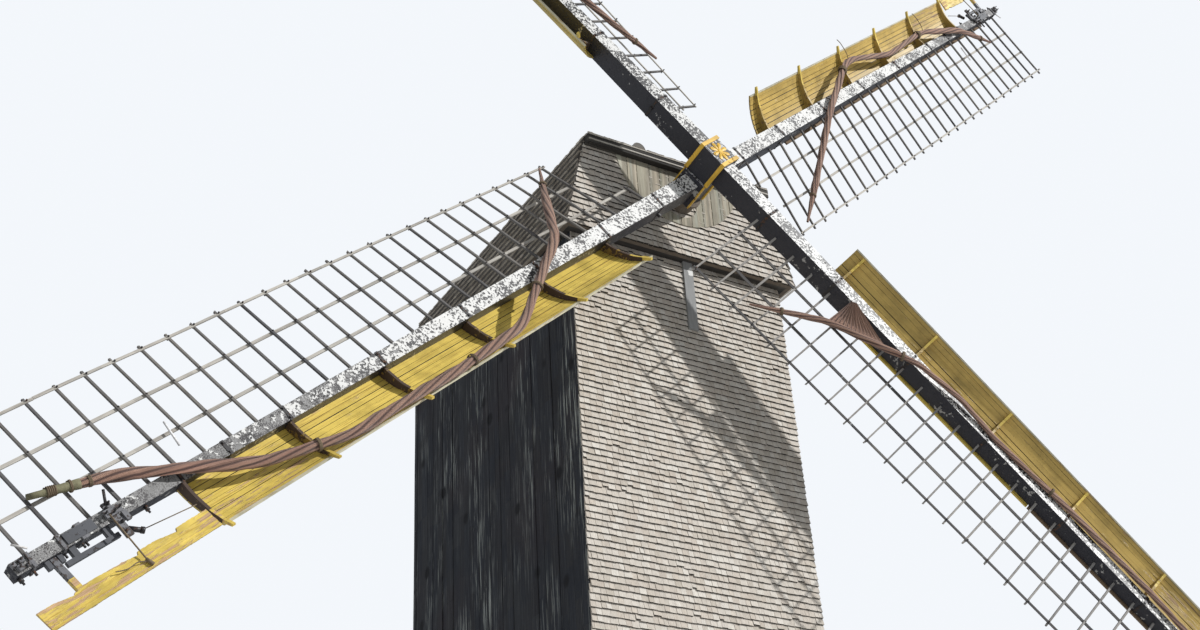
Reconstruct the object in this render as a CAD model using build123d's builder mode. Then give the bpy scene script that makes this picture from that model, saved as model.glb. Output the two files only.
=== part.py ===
from build123d import *
from math import atan2, cos, degrees, radians, sin, tan
import os

# A post mill: a boarded wooden body, the buck, that turns on a post carried by a trestle on four
# brick piers, with four sails on an inclined windshaft. Sizes are in millimetres. The origin is on
# the post's axis at ground level, +Z is up and the sails look towards -Y.

# Fits
seat = 0.3                 # faces that only rest on each other
running = 5.0              # turning faces that pass each other
journal_play = 0.5         # a journal in its bearing, on the radius

# Brick piers and trestle
pier_foot = 1050           # side of a pier at the ground
pier_head = 800            # side of a pier at its top
pier_spread = 3100         # post axis to the middle of a pier
low_pier = 1300            # height of the two piers under the lower crosstree
crosstree = 420            # section of a crosstree, square
crosstree_end = 450        # how far a crosstree runs past the middle of its pier
quarter_bar = 280          # section of a quarter bar, square
outer_foot = 2750          # post axis to the foot of an outer quarter bar
inner_foot = 1750          # post axis to the foot of an inner quarter bar
outer_head_drop = 250      # under the saddle, to the head of an outer bar
inner_head_drop = 800      # under the saddle, to the head of an inner bar

# Main post and saddle
post_square = 700          # the square foot of the post
post_foot_height = 1900    # of the square foot
post_round = 620           # diameter above the saddle
post_top_round = 540       # diameter under the crown tree
post_shaft_height = 3360   # from the saddle to the shoulder under the crown tree
pintle_round = 200
pintle_height = 150
saddle_side = 1040
saddle_height = 220

# Buck
buck_width = 3800          # outside the side walls
buck_depth = 5580          # outside the front and rear walls
post_to_front = 2350       # post axis to the outside of the front wall
wall = 150                 # studs and boarding together
wall_height = 10000
sheer_height = 320
sheer_width = 260
sheer_gap = 400            # post axis to the inner face of a sheer
skirt = 140                # how far the walls hang below the sheers
floor_boards = 60
post_hole = 760            # opening in the floor round the post
crown_side = 560           # section of the crown tree
girt_height = 360          # of the girts that the walls hang on
girt_width = 200

# Doorway in the rear wall
door_width = 900
door_height = 1900
door_centre = 950
door_leaf = 60

# Roof
eave_out = 190             # side eave beyond the wall
jetty = 200                # gable beyond the front or rear wall
knuckle_half = 1710        # half width where the steep lower slope ends
knuckle_rise = 1710        # height of the steep lower slope
ridge_rise = 1340          # from there to the ridge
hip_run = 1650             # from the foot of the hipped end to the end of the ridge
skin = 80                  # rafters and shingles together, level
verge_out = 150            # of the front hip beyond the gable
verge_height = 150
plate = 120                # height of the ring of eaves beams
plate_inside = 150         # how far the ring runs inside the walls
ridge_log_round = 250
ridge_log_front = 520      # how far the log runs out over the front hip
ridge_log_drop = 60        # axis of the log under the ridge

# Board that hangs down the front wall
hanging_width = 170
hanging_thick = 60
hanging_length = 1230
hanging_side = 150         # from the middle of the wall

# Windshaft
shaft_tilt = 8.0           # degrees, front end up
hub_over_eaves = 1160      # middle of the front stock above the top of the walls
hub_out = 1150             # middle of the front stock in front of the front wall
shaft_round = 560
neck_round = 480
tail_round = 190
tail_length = 420
tail_in = 700              # outside of the rear wall to the end of the windshaft
neck_beam_in = 60          # inside of the front wall to the neck beam
neck_beam = 420            # thickness of the neck beam, along the buck
tail_beam = 320
shaft_hole = 640
apron_round = 1150         # radius of the arched boards round the shaft
apron_thick = 35

# Poll end: two iron boxes, one behind the other
stock_pitch = 500          # from the front stock to the rear stock
poll_length = 510          # of a box along its stock
poll_width = 420           # of a box across its stock
rim_width = 65
rim_proud = 22

# Stocks: steel box beams
sail_span = 25600          # tip to tip
stock_width = 280          # at the poll, across the sail
stock_depth = 360          # at the poll, along the windshaft
stock_parallel = 420       # from the middle to where the taper starts
tip_width = 150
tip_depth = 160
sail_angle = 42.5          # degrees from level to the rear stock's upper arm

# Lattice on the trailing side
bar_count = 28
bar_first = 1950           # windshaft axis to the first bar
bar_last = 12560           # windshaft axis to the last bar
bar_reach = 1690           # stock axis to the end of a bar
bar_width = 45
bar_thick = 36
hem_at = 1610              # stock axis to the hem lath
lath_bays = 3
lath_width = 55
lath_thick = 22
root_weather = 17.0        # degrees that the first bar slants
tip_weather = 5.0          # degrees that the last bar slants

# Curved boards on the leading side
board_first = 2500
board_last = 10750
board_thick = 30
board_edge = 740           # stock axis to the outer edge
board_hollow = 55          # depth of the curve
planks = 5                 # side by side across the curve
root_lee = -130            # inner edge at the first end, along the windshaft
root_wind = 330            # outer edge at the first end
tip_lee = -60
tip_wind = 190
rib_count = 6
rib_in = 190               # from the boards' first end to the first rib
rib_thick = 48
rib_root = 170             # height of a rib beside the stock
rib_nose = 34              # height of a rib at the outer edge
rib_overhang = 110         # how far a rib runs past the boards

# Narrow board near the tip
tip_board_last = 12900
tip_board_width = 230
tip_board_thick = 30
tip_arm = 60
tip_arm_at = 12350

# Furled sail cloth
cloth_round = 150
cloth_bend = 500           # radius of its bends
cloth_slack = 8            # it hangs this far clear of what it passes

# Tail pole and steps
pole_root = 320
pole_end = 220
pole_reach = 9600          # post axis to the end of the tail pole
pole_end_height = 1150
tail_sill = 320            # section of the beam that carries the pole
step_count = 16
step_going = 285
foot_gap = 40              # the steps hang this far above the ground
step_thick = 45
stringer_thick = 60
steps_width = 1020
yoke_at = 7000             # post axis to the yoke that hangs the steps from the pole
yoke_side = 130
rod_round = 45

# Levels and places that follow from the sizes above
lower_tree_top = low_pier + crosstree
post_foot = lower_tree_top + crosstree
saddle_top = post_foot + post_foot_height
sheer_bottom = saddle_top + 2 * running
sheer_top = sheer_bottom + sheer_height
floor_top = sheer_top + floor_boards
crown_bottom = saddle_top + post_shaft_height + journal_play
wall_bottom = sheer_bottom - skirt
wall_top = wall_bottom + wall_height
hub_height = wall_top + hub_over_eaves
half_width = buck_width / 2
front = -post_to_front
rear = front + buck_depth
inner_half = half_width - wall
inner_front = front + wall
inner_rear = rear - wall
gable_front = front - jetty
gable_rear = rear + jetty
eave_half = half_width + eave_out
knuckle_top = wall_top + knuckle_rise
ridge_top = knuckle_top + ridge_rise
lean = (eave_half - knuckle_half) / knuckle_rise   # inward lean of the lower slope, per unit height

windward = Vector(0, -cos(radians(shaft_tilt)), sin(radians(shaft_tilt)))
hub = Vector(0, front - hub_out, hub_height)
level_plane = Plane(origin=hub, x_dir=(1, 0, 0), z_dir=windward)


def turned(angle, back=0):
    """Plane square to the windshaft, its x axis turned up from level, some way behind the hub."""
    turn = radians(angle)
    return Plane(
        origin=hub - windward * back,
        x_dir=level_plane.x_dir * cos(turn) + level_plane.y_dir * sin(turn),
        z_dir=windward,
    )


rotor_plane = turned(sail_angle)


def shaft_height(y):
    """Height of the windshaft's axis over a place along the buck."""
    return hub_height - (y - hub.Y) * tan(radians(shaft_tilt))


def along_shaft(y):
    """Distance from the hub back along the windshaft to a place along the buck."""
    return (y - hub.Y) / cos(radians(shaft_tilt))


def write(piece, name):
    """Label a finished piece and write its file."""
    piece.label = name
    export_step(piece, f"parts/{name}.step")


def box_between(low, high):
    """A block from its lowest to its highest corner, for beams laid square to the buck."""
    low, high = Vector(low), Vector(high)
    size = high - low
    with BuildPart() as block:
        with Locations((low + high) / 2):
            Box(size.X, size.Y, size.Z)
    return block.part


os.makedirs("parts", exist_ok=True)

# Brick piers, tapered, two low under the lower crosstree and two high under the upper one
pier_places = (
    ((-pier_spread, 0), low_pier),
    ((pier_spread, 0), low_pier),
    ((0, -pier_spread), lower_tree_top),
    ((0, pier_spread), lower_tree_top),
)
piers = []
for place, height in pier_places:
    with BuildPart() as pier:
        with BuildSketch(Plane.XY):
            with Locations(place):
                Rectangle(pier_foot, pier_foot)
        extrude(amount=height, taper=degrees(atan2((pier_foot - pier_head) / 2, height)))
    piers.append(pier.part)
write(Compound(children=piers), "brick_piers")

# Crosstrees: the lower one lies across the mill, the upper one along it
tree_half = pier_spread + crosstree_end
with BuildPart() as crosstree_lower:
    with BuildSketch(Plane.XY.offset(low_pier)):
        Rectangle(2 * tree_half, crosstree)
    extrude(amount=crosstree)
write(crosstree_lower.part, "crosstree_lower")
with BuildPart() as crosstree_upper:
    with BuildSketch(Plane.XY.offset(lower_tree_top)):
        Rectangle(crosstree, 2 * tree_half)
    extrude(amount=crosstree)
write(crosstree_upper.part, "crosstree_upper")

# Main post: square foot, then a round tapering shaft with a pintle
post_shoulder = saddle_top + post_shaft_height
with BuildPart() as main_post:
    with BuildSketch(Plane.XY.offset(post_foot)):
        RectangleRounded(post_square, post_square, 40)
    extrude(amount=post_foot_height)
    with BuildSketch(Plane.XZ):
        with BuildLine():
            Polyline(
                (0, saddle_top),
                (post_round / 2, saddle_top),
                (post_top_round / 2, post_shoulder),
                (pintle_round / 2, post_shoulder),
                (pintle_round / 2, post_shoulder + pintle_height),
                (0, post_shoulder + pintle_height),
                close=True,
            )
        make_face()
    revolve(axis=Axis.Z)
write(main_post.part, "main_post")

# Saddle: the collar that locks the heads of the quarter bars
with BuildPart() as saddle:
    with BuildSketch(Plane.XY.offset(saddle_top - saddle_height)):
        Rectangle(saddle_side, saddle_side)
        RectangleRounded(post_square + 2 * seat, post_square + 2 * seat, 40 + seat, mode=Mode.SUBTRACT)
    extrude(amount=saddle_height)
    chamfer(saddle.edges().filter_by(Axis.Z).group_by(SortBy.DISTANCE)[-1], 120)
write(saddle.part, "saddle")


def quarter_bars(tree_top, plane_of):
    """Four slanting bars in one upright plane, outer and inner, on both sides of the post."""
    bars = []
    for side in (-1, 1):
        for foot, drop in ((outer_foot, outer_head_drop), (inner_foot, inner_head_drop)):
            head_z = saddle_top - saddle_height - drop
            reach = post_square / 2 + seat
            with BuildPart() as bar:
                with BuildSketch(plane_of):
                    with BuildLine():
                        Polyline(
                            (side * foot, tree_top),
                            (side * (foot - quarter_bar * 1.3), tree_top),
                            (side * reach, head_z - quarter_bar * 1.25),
                            (side * reach, head_z),
                            close=True,
                        )
                    make_face()
                extrude(amount=quarter_bar / 2, both=True)
            bars.append(bar.part)
    return Compound(children=bars)


write(quarter_bars(lower_tree_top, Plane.XZ), "quarter_bars_across")
write(quarter_bars(post_foot, Plane.YZ), "quarter_bars_along")

# Sheers: two beams under the floor, one each side of the post
with BuildPart() as sheers:
    for side in (-1, 1):
        with Locations((side * (sheer_gap + sheer_width / 2), (inner_front + rear) / 2, sheer_bottom)):
            Box(sheer_width, rear - inner_front, sheer_height, align=(Align.CENTER, Align.CENTER, Align.MIN))
write(sheers.part, "sheers")

# Lower floor, open round the post
with BuildPart() as lower_floor:
    with BuildSketch(Plane.XY.offset(sheer_top)):
        with Locations((0, (inner_front + inner_rear) / 2)):
            Rectangle(2 * inner_half, inner_rear - inner_front)
        Rectangle(post_hole, post_hole, mode=Mode.SUBTRACT)
    extrude(amount=floor_boards)
write(lower_floor.part, "lower_floor")

# Crown tree on the pintle, and the girts that lie on its ends and carry the side walls
with BuildPart() as crown_tree:
    with BuildSketch(Plane.XY.offset(crown_bottom)):
        Rectangle(2 * inner_half, crown_side)
        Circle(pintle_round / 2 + journal_play, mode=Mode.SUBTRACT)
    extrude(amount=crown_side)
write(crown_tree.part, "crown_tree")
girt_bottom = crown_bottom + crown_side
with BuildPart() as side_girts:
    with BuildSketch(Plane.XY.offset(girt_bottom)):
        for side in (-1, 1):
            with Locations((side * (inner_half - girt_width / 2), (inner_front + inner_rear) / 2)):
                Rectangle(girt_width, inner_rear - inner_front)
    extrude(amount=girt_height)
write(side_girts.part, "side_girts")

# Walls: the side walls run the whole depth, the end walls stand between them
for name, side in (("left_wall", -1), ("right_wall", 1)):
    outer = side * half_width
    inner = side * inner_half
    write(box_between((min(outer, inner), front, wall_bottom), (max(outer, inner), rear, wall_top)), name)
write(box_between((-inner_half, front, wall_bottom), (inner_half, inner_front, wall_top)), "front_wall")

with BuildPart() as rear_wall:
    with BuildSketch(Plane.XZ.offset(-rear)):
        with Locations((0, (sheer_top + wall_top) / 2)):
            Rectangle(2 * inner_half, wall_top - sheer_top)
        with Locations((door_centre, floor_top + door_height / 2)):
            Rectangle(door_width, door_height, mode=Mode.SUBTRACT)
    extrude(amount=wall)
write(rear_wall.part, "rear_wall")

with BuildPart() as rear_door:
    with BuildSketch(Plane.XZ.offset(-(rear - door_leaf))):
        with Locations((door_centre, floor_top + door_height / 2)):
            Rectangle(door_width - 2 * seat, door_height - 2 * seat)
    extrude(amount=door_leaf)
write(rear_door.part, "rear_door")

# Ring of eaves beams on the walls; its sides lean like the roof that they carry
ring_half = eave_half - skin
with BuildPart() as eaves_ring:
    with BuildSketch(Plane.XZ.offset(-(gable_front + skin))):
        with BuildLine():
            Polyline(
                (-ring_half, wall_top),
                (ring_half, wall_top),
                (ring_half - lean * plate, wall_top + plate),
                (-ring_half + lean * plate, wall_top + plate),
                close=True,
            )
        make_face()
    extrude(amount=-(gable_rear - gable_front - 2 * skin))
    with BuildSketch(Plane.XY.offset(wall_top)):
        with Locations((0, (inner_front + inner_rear) / 2)):
            Rectangle(2 * (inner_half - plate_inside), inner_rear - inner_front - 2 * plate_inside)
    extrude(amount=plate, mode=Mode.SUBTRACT)
write(eaves_ring.part, "eaves_ring")

# Steep lower slopes
for name, side in (("roof_lower_left", -1), ("roof_lower_right", 1)):
    with BuildPart() as slope:
        with BuildSketch(Plane.XZ.offset(-gable_front)):
            with BuildLine():
                Polyline(
                    (side * eave_half, wall_top),
                    (side * knuckle_half, knuckle_top),
                    (side * (knuckle_half - skin), knuckle_top),
                    (side * (eave_half - skin), wall_top),
                    close=True,
                )
            make_face()
        extrude(amount=-(gable_rear - gable_front))
    write(slope.part, name)

# Gables between the lower slopes, the front one open for the windshaft
gable_faces = {"front_gable": gable_front, "rear_gable": gable_rear - skin}
for name, face in gable_faces.items():
    with BuildPart() as gable:
        with BuildSketch(Plane.XZ.offset(-face)):
            with BuildLine():
                Polyline(
                    (-ring_half, wall_top),
                    (ring_half, wall_top),
                    (knuckle_half - skin, knuckle_top),
                    (-knuckle_half + skin, knuckle_top),
                    close=True,
                )
            make_face()
        extrude(amount=-skin)
        if face == gable_front:
            with BuildSketch(level_plane):
                Circle(shaft_hole / 2)
            extrude(amount=-along_shaft(inner_front), mode=Mode.SUBTRACT)
    write(gable.part, name)

# Arched boards round the windshaft, on the front gable
with BuildPart() as shaft_boards:
    with BuildSketch(Plane.XZ.offset(-gable_front)):
        with Locations((0, knuckle_top)):
            Circle(apron_round)
        with Locations((0, knuckle_top + apron_round / 2)):
            Rectangle(2 * apron_round, apron_round, mode=Mode.SUBTRACT)
    extrude(amount=apron_thick)
    with BuildSketch(level_plane):
        Circle(shaft_hole / 2)
    extrude(amount=-along_shaft(inner_front), mode=Mode.SUBTRACT)
write(shaft_boards.part, "shaft_boards")


def hipped_block(drop):
    """The hipped upper roof as a solid, lowered by the thickness of its skin."""
    slope_side = ridge_rise / knuckle_half
    slope_hip = ridge_rise / hip_run
    top = ridge_top - drop
    hip_front_foot = gable_front - verge_out
    with BuildPart() as block:
        with BuildSketch(Plane.XZ.offset(-(hip_front_foot - 10))):
            half = (top - knuckle_top) / slope_side
            with BuildLine():
                Polyline((-half, knuckle_top), (half, knuckle_top), (0, top), close=True)
            make_face()
        extrude(amount=-(gable_rear + verge_out - hip_front_foot + 20))
        with BuildSketch(Plane.YZ):
            with BuildLine():
                Polyline(
                    (hip_front_foot + drop / slope_hip, knuckle_top),
                    (gable_rear + verge_out - drop / slope_hip, knuckle_top),
                    (gable_rear + verge_out - hip_run, top),
                    (hip_front_foot + hip_run, top),
                    close=True,
                )
            make_face()
        extrude(amount=knuckle_half + 10, both=True, mode=Mode.INTERSECT)
    return block.part


roof_inside = hipped_block(skin * 1.25)
foot_front = gable_front - verge_out
foot_rear = gable_rear + verge_out
ridge_front = foot_front + hip_run

# Ridge log: a round timber whose end shows over the front hip
log_height = ridge_top - ridge_log_drop - skin - ridge_log_round / 2


def ridge_round(room):
    """The round of the ridge log, with some room round it."""
    with BuildPart() as timber:
        with BuildSketch(Plane.XZ.offset(-(ridge_front - ridge_log_front))):
            with Locations((0, log_height)):
                Circle(ridge_log_round / 2 + room)
        extrude(amount=-ridge_log_front)
    return timber.part


with BuildPart() as ridge_log:
    add(ridge_round(0))
    add(roof_inside, mode=Mode.SUBTRACT)
write(ridge_log.part, "ridge_log")

# Upper roof: one skin with a hole for the log, cut along the hips and the ridge into four planes
roof_skin = hipped_block(0) - roof_inside - ridge_round(seat)
plan_regions = {
    "hip_front": ((-knuckle_half, foot_front), (knuckle_half, foot_front), (0, foot_front + hip_run)),
    "hip_rear": ((knuckle_half, foot_rear), (-knuckle_half, foot_rear), (0, foot_rear - hip_run)),
    "roof_upper_left": (
        (-knuckle_half, foot_front),
        (0, foot_front + hip_run),
        (0, foot_rear - hip_run),
        (-knuckle_half, foot_rear),
    ),
    "roof_upper_right": (
        (knuckle_half, foot_rear),
        (0, foot_rear - hip_run),
        (0, foot_front + hip_run),
        (knuckle_half, foot_front),
    ),
}
for name, corners in plan_regions.items():
    with BuildPart() as region:
        with BuildSketch(Plane.XY.offset(knuckle_top)):
            with BuildLine():
                Polyline(*corners, close=True)
            make_face()
        extrude(amount=ridge_rise)
        add(roof_skin, mode=Mode.INTERSECT)
    write(region.part, name)


# Verge board under the front hip's edge
with BuildPart() as verge_board:
    with BuildSketch(Plane.XY.offset(knuckle_top - verge_height)):
        with Locations((0, gable_front - verge_out / 2)):
            Rectangle(2 * knuckle_half, verge_out)
    extrude(amount=verge_height)
    with BuildSketch(Plane.XY.offset(knuckle_top - verge_height)):
        with Locations((0, gable_front - apron_thick / 2)):
            Rectangle(2 * (apron_round + seat), apron_thick + 2 * seat)
    extrude(amount=verge_height, mode=Mode.SUBTRACT)
write(verge_board.part, "verge_board")

# Board that hangs down the front wall
write(
    box_between(
        (hanging_side - hanging_width / 2, front - hanging_thick, wall_top - hanging_length),
        (hanging_side + hanging_width / 2, front, wall_top),
    ),
    "hanging_board",
)

# Neck beam with its bearing, standing on the eaves ring behind the front gable
neck_y = inner_front + neck_beam_in + neck_beam / 2
neck_top = shaft_height(neck_y)
beam_half = ring_half - lean * (neck_top - wall_top) - seat
with BuildPart() as neck_bearer:
    with BuildSketch(Plane.XZ.offset(-(neck_y - neck_beam / 2))):
        with BuildLine():
            Polyline(
                (-ring_half + lean * plate + seat, wall_top + plate),
                (ring_half - lean * plate - seat, wall_top + plate),
                (beam_half, neck_top),
                (-beam_half, neck_top),
                close=True,
            )
        make_face()
    extrude(amount=-neck_beam)
    with BuildSketch(level_plane):
        Circle(neck_round / 2 + journal_play)
    extrude(amount=-along_shaft(inner_rear), mode=Mode.SUBTRACT)
write(neck_bearer.part, "neck_beam")

# Tail beam between the side walls, with the block that carries the tail journal
tail_y = rear - tail_in - tail_length / 2
tail_axis = shaft_height(tail_y)
with BuildPart() as tail_bearer:
    with Locations((0, tail_y, wall_top - tail_beam / 2)):
        Box(2 * inner_half, tail_beam, tail_beam)
    with BuildSketch(Plane.XY.offset(wall_top)):
        with Locations((0, tail_y)):
            Rectangle(1.6 * tail_beam, tail_length * 0.6)
    extrude(amount=tail_axis - wall_top)
    with BuildSketch(level_plane):
        Circle(tail_round / 2 + journal_play)
    extrude(amount=-along_shaft(rear), mode=Mode.SUBTRACT)
write(tail_bearer.part, "tail_beam")

# Windshaft: poll neck, journal, wooden body and tail journal, turned about one axis
poll_back = -1.5 * stock_pitch
neck_back = -along_shaft(neck_y + neck_beam / 2) - shaft_round / 2 * tan(radians(shaft_tilt)) - running
body_back = -along_shaft(tail_y - tail_length / 2)
shaft_end = -along_shaft(rear - tail_in)
with BuildPart() as windshaft:
    with BuildSketch(Plane(origin=hub, x_dir=(1, 0, 0), z_dir=windward.cross(Vector(1, 0, 0)) * -1)):
        with BuildLine():
            Polyline(
                (0, poll_back),
                (shaft_round / 2, poll_back),
                (shaft_round / 2, poll_back - 40),
                (neck_round / 2, poll_back - 90),
                (neck_round / 2, neck_back),
                (shaft_round / 2, neck_back - 60),
                (shaft_round / 2 * 0.9, body_back),
                (tail_round / 2, body_back),
                (tail_round / 2, shaft_end),
                (0, shaft_end),
                close=True,
            )
        make_face()
    revolve(axis=Axis(hub, windward))
write(windshaft.part, "windshaft")


def arm_plane(number):
    """Frame of one sail: x out along the stock, y to the leading side, z to windward."""
    return turned(sail_angle + 90 * number, stock_pitch if number % 2 == 0 else 0)


def across(frame, distance):
    """Plane that cuts a sail's stock square, with x to the leading side and y to windward."""
    return Plane(origin=frame.from_local_coords((distance, 0, 0)), x_dir=frame.y_dir, z_dir=frame.x_dir)


def at_radius(distance, at_poll, at_tip):
    """A size of the stock where it tapers."""
    share = max(0, distance - stock_parallel) / (sail_span / 2 - stock_parallel)
    return at_poll + (at_tip - at_poll) * share


def stock_side(distance):
    """Half the width of the stock."""
    return at_radius(distance, stock_width, tip_width) / 2


def stock_face(distance):
    """Half the depth of the stock."""
    return at_radius(distance, stock_depth, tip_depth) / 2


def stock_outline(half_at, room):
    """Outline of a whole stock seen from one side, tapered from the poll to both tips."""
    tip = sail_span / 2
    edge = [(distance, half_at(abs(distance)) + room) for distance in (-tip, -stock_parallel, stock_parallel, tip)]
    return edge + [(distance, -half) for distance, half in reversed(edge)]


def stock_block(frame, room):
    """A whole stock, with some room round it: its broad outline crossed with its deep one."""
    with BuildPart() as block:
        with BuildSketch(frame):
            with BuildLine():
                Polyline(*stock_outline(stock_side, room), close=True)
            make_face()
        extrude(amount=stock_depth, both=True)
        with BuildSketch(Plane(origin=frame.origin, x_dir=frame.x_dir, z_dir=-frame.y_dir)):
            with BuildLine():
                Polyline(*stock_outline(stock_face, room), close=True)
            make_face()
        extrude(amount=stock_width, both=True, mode=Mode.INTERSECT)
    return block.part


write(stock_block(arm_plane(0), 0), "rear_stock")
write(stock_block(arm_plane(1), 0), "front_stock")

# Poll end: two iron boxes crossed, each open for its stock
with BuildPart(rotor_plane) as poll_end:
    Box(poll_width, poll_length, stock_pitch)
    with Locations((0, 0, -stock_pitch)):
        Box(poll_length, poll_width, stock_pitch)
    Box(stock_width + 2 * seat, poll_length, stock_depth + 2 * seat, mode=Mode.SUBTRACT)
    with Locations((0, 0, -stock_pitch)):
        Box(poll_length, stock_width + 2 * seat, stock_depth + 2 * seat, mode=Mode.SUBTRACT)
write(poll_end.part, "poll_end")

# Rims round the mouths of the boxes
with BuildPart() as poll_rims:
    for number in range(4):
        frame = arm_plane(number)
        is_front = number % 2 == 1
        top = stock_pitch / 2 + (rim_proud if is_front else -running)
        bottom = -stock_pitch / 2 + (running if is_front else 0)
        with BuildSketch(across(frame, poll_length / 2 - rim_width)):
            with Locations((0, (top + bottom) / 2)):
                Rectangle(poll_width + 2 * rim_proud, top - bottom)
            Rectangle(poll_width, stock_pitch, mode=Mode.SUBTRACT)
        extrude(amount=rim_width)
write(poll_rims.part, "poll_rims")


def weather(distance):
    """Slant of the lattice, in degrees, at a distance from the windshaft."""
    share = (distance - bar_first) / (bar_last - bar_first)
    return root_weather + (tip_weather - root_weather) * share


# Lattice of one sail: bars that slant less and less towards the tip, fused with four long laths
flat_sail = Plane.XY
bar_step = (bar_last - bar_first) / (bar_count - 1)
with BuildPart() as lattice:
    for number in range(bar_count):
        distance = bar_first + number * bar_step
        with Locations(Location((distance, 0, 0), (weather(distance), 0, 0))):
            Box(bar_width, bar_reach, bar_thick, align=(Align.CENTER, Align.MAX, Align.CENTER))
    lath_ends = (bar_first - 90, bar_last + 90)
    for bay in range(1, lath_bays + 1):
        reach = hem_at * bay / lath_bays
        stations = [lath_ends[0] + (lath_ends[1] - lath_ends[0]) * i / 4 for i in range(5)]
        with BuildPart(mode=Mode.PRIVATE) as lath:
            for distance in stations:
                slant = radians(weather(distance))
                lee = (bar_thick + lath_thick) / 2 - 6
                centre = (
                    distance,
                    -reach * cos(slant) + lee * sin(slant),
                    -reach * sin(slant) - lee * cos(slant),
                )
                with BuildSketch(Plane(origin=centre, x_dir=(0, cos(slant), sin(slant)), z_dir=(1, 0, 0))):
                    Rectangle(lath_width, lath_thick)
            loft(ruled=True)
        add(lath.part)
    add(stock_block(flat_sail, seat), mode=Mode.SUBTRACT)


def planked_curve(distance):
    """Corners of the planks' windward face at one end of the boards, from the stock outwards."""
    share = (distance - board_first) / (board_last - board_first)
    inner = Vector(stock_side(distance) + seat, root_lee + (tip_lee - root_lee) * share)
    outer = Vector(board_edge, root_wind + (tip_wind - root_wind) * share)
    chord = outer - inner
    hollow = Vector(chord.Y, -chord.X).normalized() * board_hollow
    curve = ThreePointArc(inner, (inner + outer) / 2 + hollow, outer)
    return [curve @ (number / planks) for number in range(planks + 1)]


root_corners = planked_curve(board_first)
tip_corners = planked_curve(board_last)


def board_corners(distance):
    """Corners of the planks' windward face anywhere along the boards, which run straight."""
    share = (distance - board_first) / (board_last - board_first)
    return [root + (tip - root) * share for root, tip in zip(root_corners, tip_corners)]


def windward_of(corners):
    """Direction square to the boards' chord, on their windward side."""
    return (corners[-1] - corners[0]).normalized().rotate(Axis.Z, 90)


# Wide curved boards and the narrow board at the tip
with BuildPart() as wide_board:
    for distance in (board_first, board_last):
        corners = board_corners(distance)
        lee = windward_of(corners) * -board_thick
        with BuildSketch(across(flat_sail, distance)):
            with BuildLine():
                Polyline(*corners, *[corner + lee for corner in reversed(corners)], close=True)
            make_face()
    loft(ruled=True)

tip_board_first = board_last + seat
tip_board_rise = tip_wind
with BuildPart() as tip_board:
    for distance, rise in ((tip_board_first, tip_board_rise), (tip_board_last, tip_board_rise * 0.55)):
        with BuildSketch(across(flat_sail, distance)):
            with Locations(Location((board_edge - tip_board_width / 2, rise, 0), (0, 0, 12))):
                Rectangle(tip_board_width, tip_board_thick)
    loft(ruled=True)


def rib(distance):
    """A curved rib on the windward face of the boards, from the stock past their outer edge."""
    with BuildPart() as plate_rib:
        for station in (distance - rib_thick / 2, distance + rib_thick / 2):
            corners = board_corners(station)
            up = windward_of(corners)
            foot = [corner + up * seat for corner in corners]
            nose = foot[-1] + up.rotate(Axis.Z, -90) * rib_overhang
            middle = (corners[planks // 2] + corners[-1 - planks // 2]) / 2
            root = Vector(foot[0].X, foot[0].Y + rib_root)
            with BuildSketch(across(flat_sail, station)):
                with BuildLine():
                    Polyline(*foot, nose, nose + up * rib_nose)
                    ThreePointArc(nose + up * rib_nose, middle + up * (rib_root + rib_nose) / 2, root)
                    Line(root, foot[0])
                make_face()
        loft(ruled=True)
    return plate_rib.part


first_rib = board_first + rib_in
last_rib = board_last - rib_thick / 2
ribs = [rib(first_rib + (last_rib - first_rib) * i / (rib_count - 1)) for i in range(rib_count)]
tip_share = (tip_arm_at - tip_board_first) / (tip_board_last - tip_board_first)
arm_rise = tip_board_rise * (1 - 0.45 * tip_share)
with BuildPart() as tip_arm_piece:
    with BuildSketch(across(flat_sail, tip_arm_at - tip_arm / 2)):
        with BuildLine():
            Polyline(
                (stock_side(tip_arm_at) + seat, -tip_arm / 2),
                (board_edge, arm_rise - tip_board_thick - tip_arm / 2),
                (board_edge, arm_rise + tip_board_thick * 2),
                (stock_side(tip_arm_at) + seat, tip_arm / 2),
                close=True,
            )
        make_face()
    extrude(amount=tip_arm)
    add(tip_board.part, mode=Mode.SUBTRACT)

# Furled cloths: each is tied to the lattice near the windshaft, crosses the stock, lies along the ribs
# and goes back over the stock to the lattice near the tip
cloth_lift = cloth_round / 2 + cloth_slack


def on_bars(distance, reach, over=0):
    """A place on the lattice, some way out from the stock's axis."""
    slant = radians(weather(distance))
    lift = bar_thick / 2 + cloth_lift + over
    return (distance, -reach * cos(slant) - lift * sin(slant), -reach * sin(slant) + lift * cos(slant))


def over_stock(distance, share):
    """A place before the stock; the share is -1 at its trailing edge and 1 at its leading edge."""
    return (distance, share * stock_side(distance), stock_face(distance) + cloth_lift)


def on_ribs(distance, share, over=0):
    """A place on top of the ribs; the share is 0 beside the stock and 1 at the boards' edge."""
    corners = board_corners(distance)
    height = rib_root + (rib_nose - rib_root) * share - board_hollow * 4 * share * (1 - share)
    place = corners[0] + (corners[-1] - corners[0]) * share
    place += windward_of(corners) * (height + cloth_lift + over)
    return (distance, place.X, place.Y)


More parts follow.
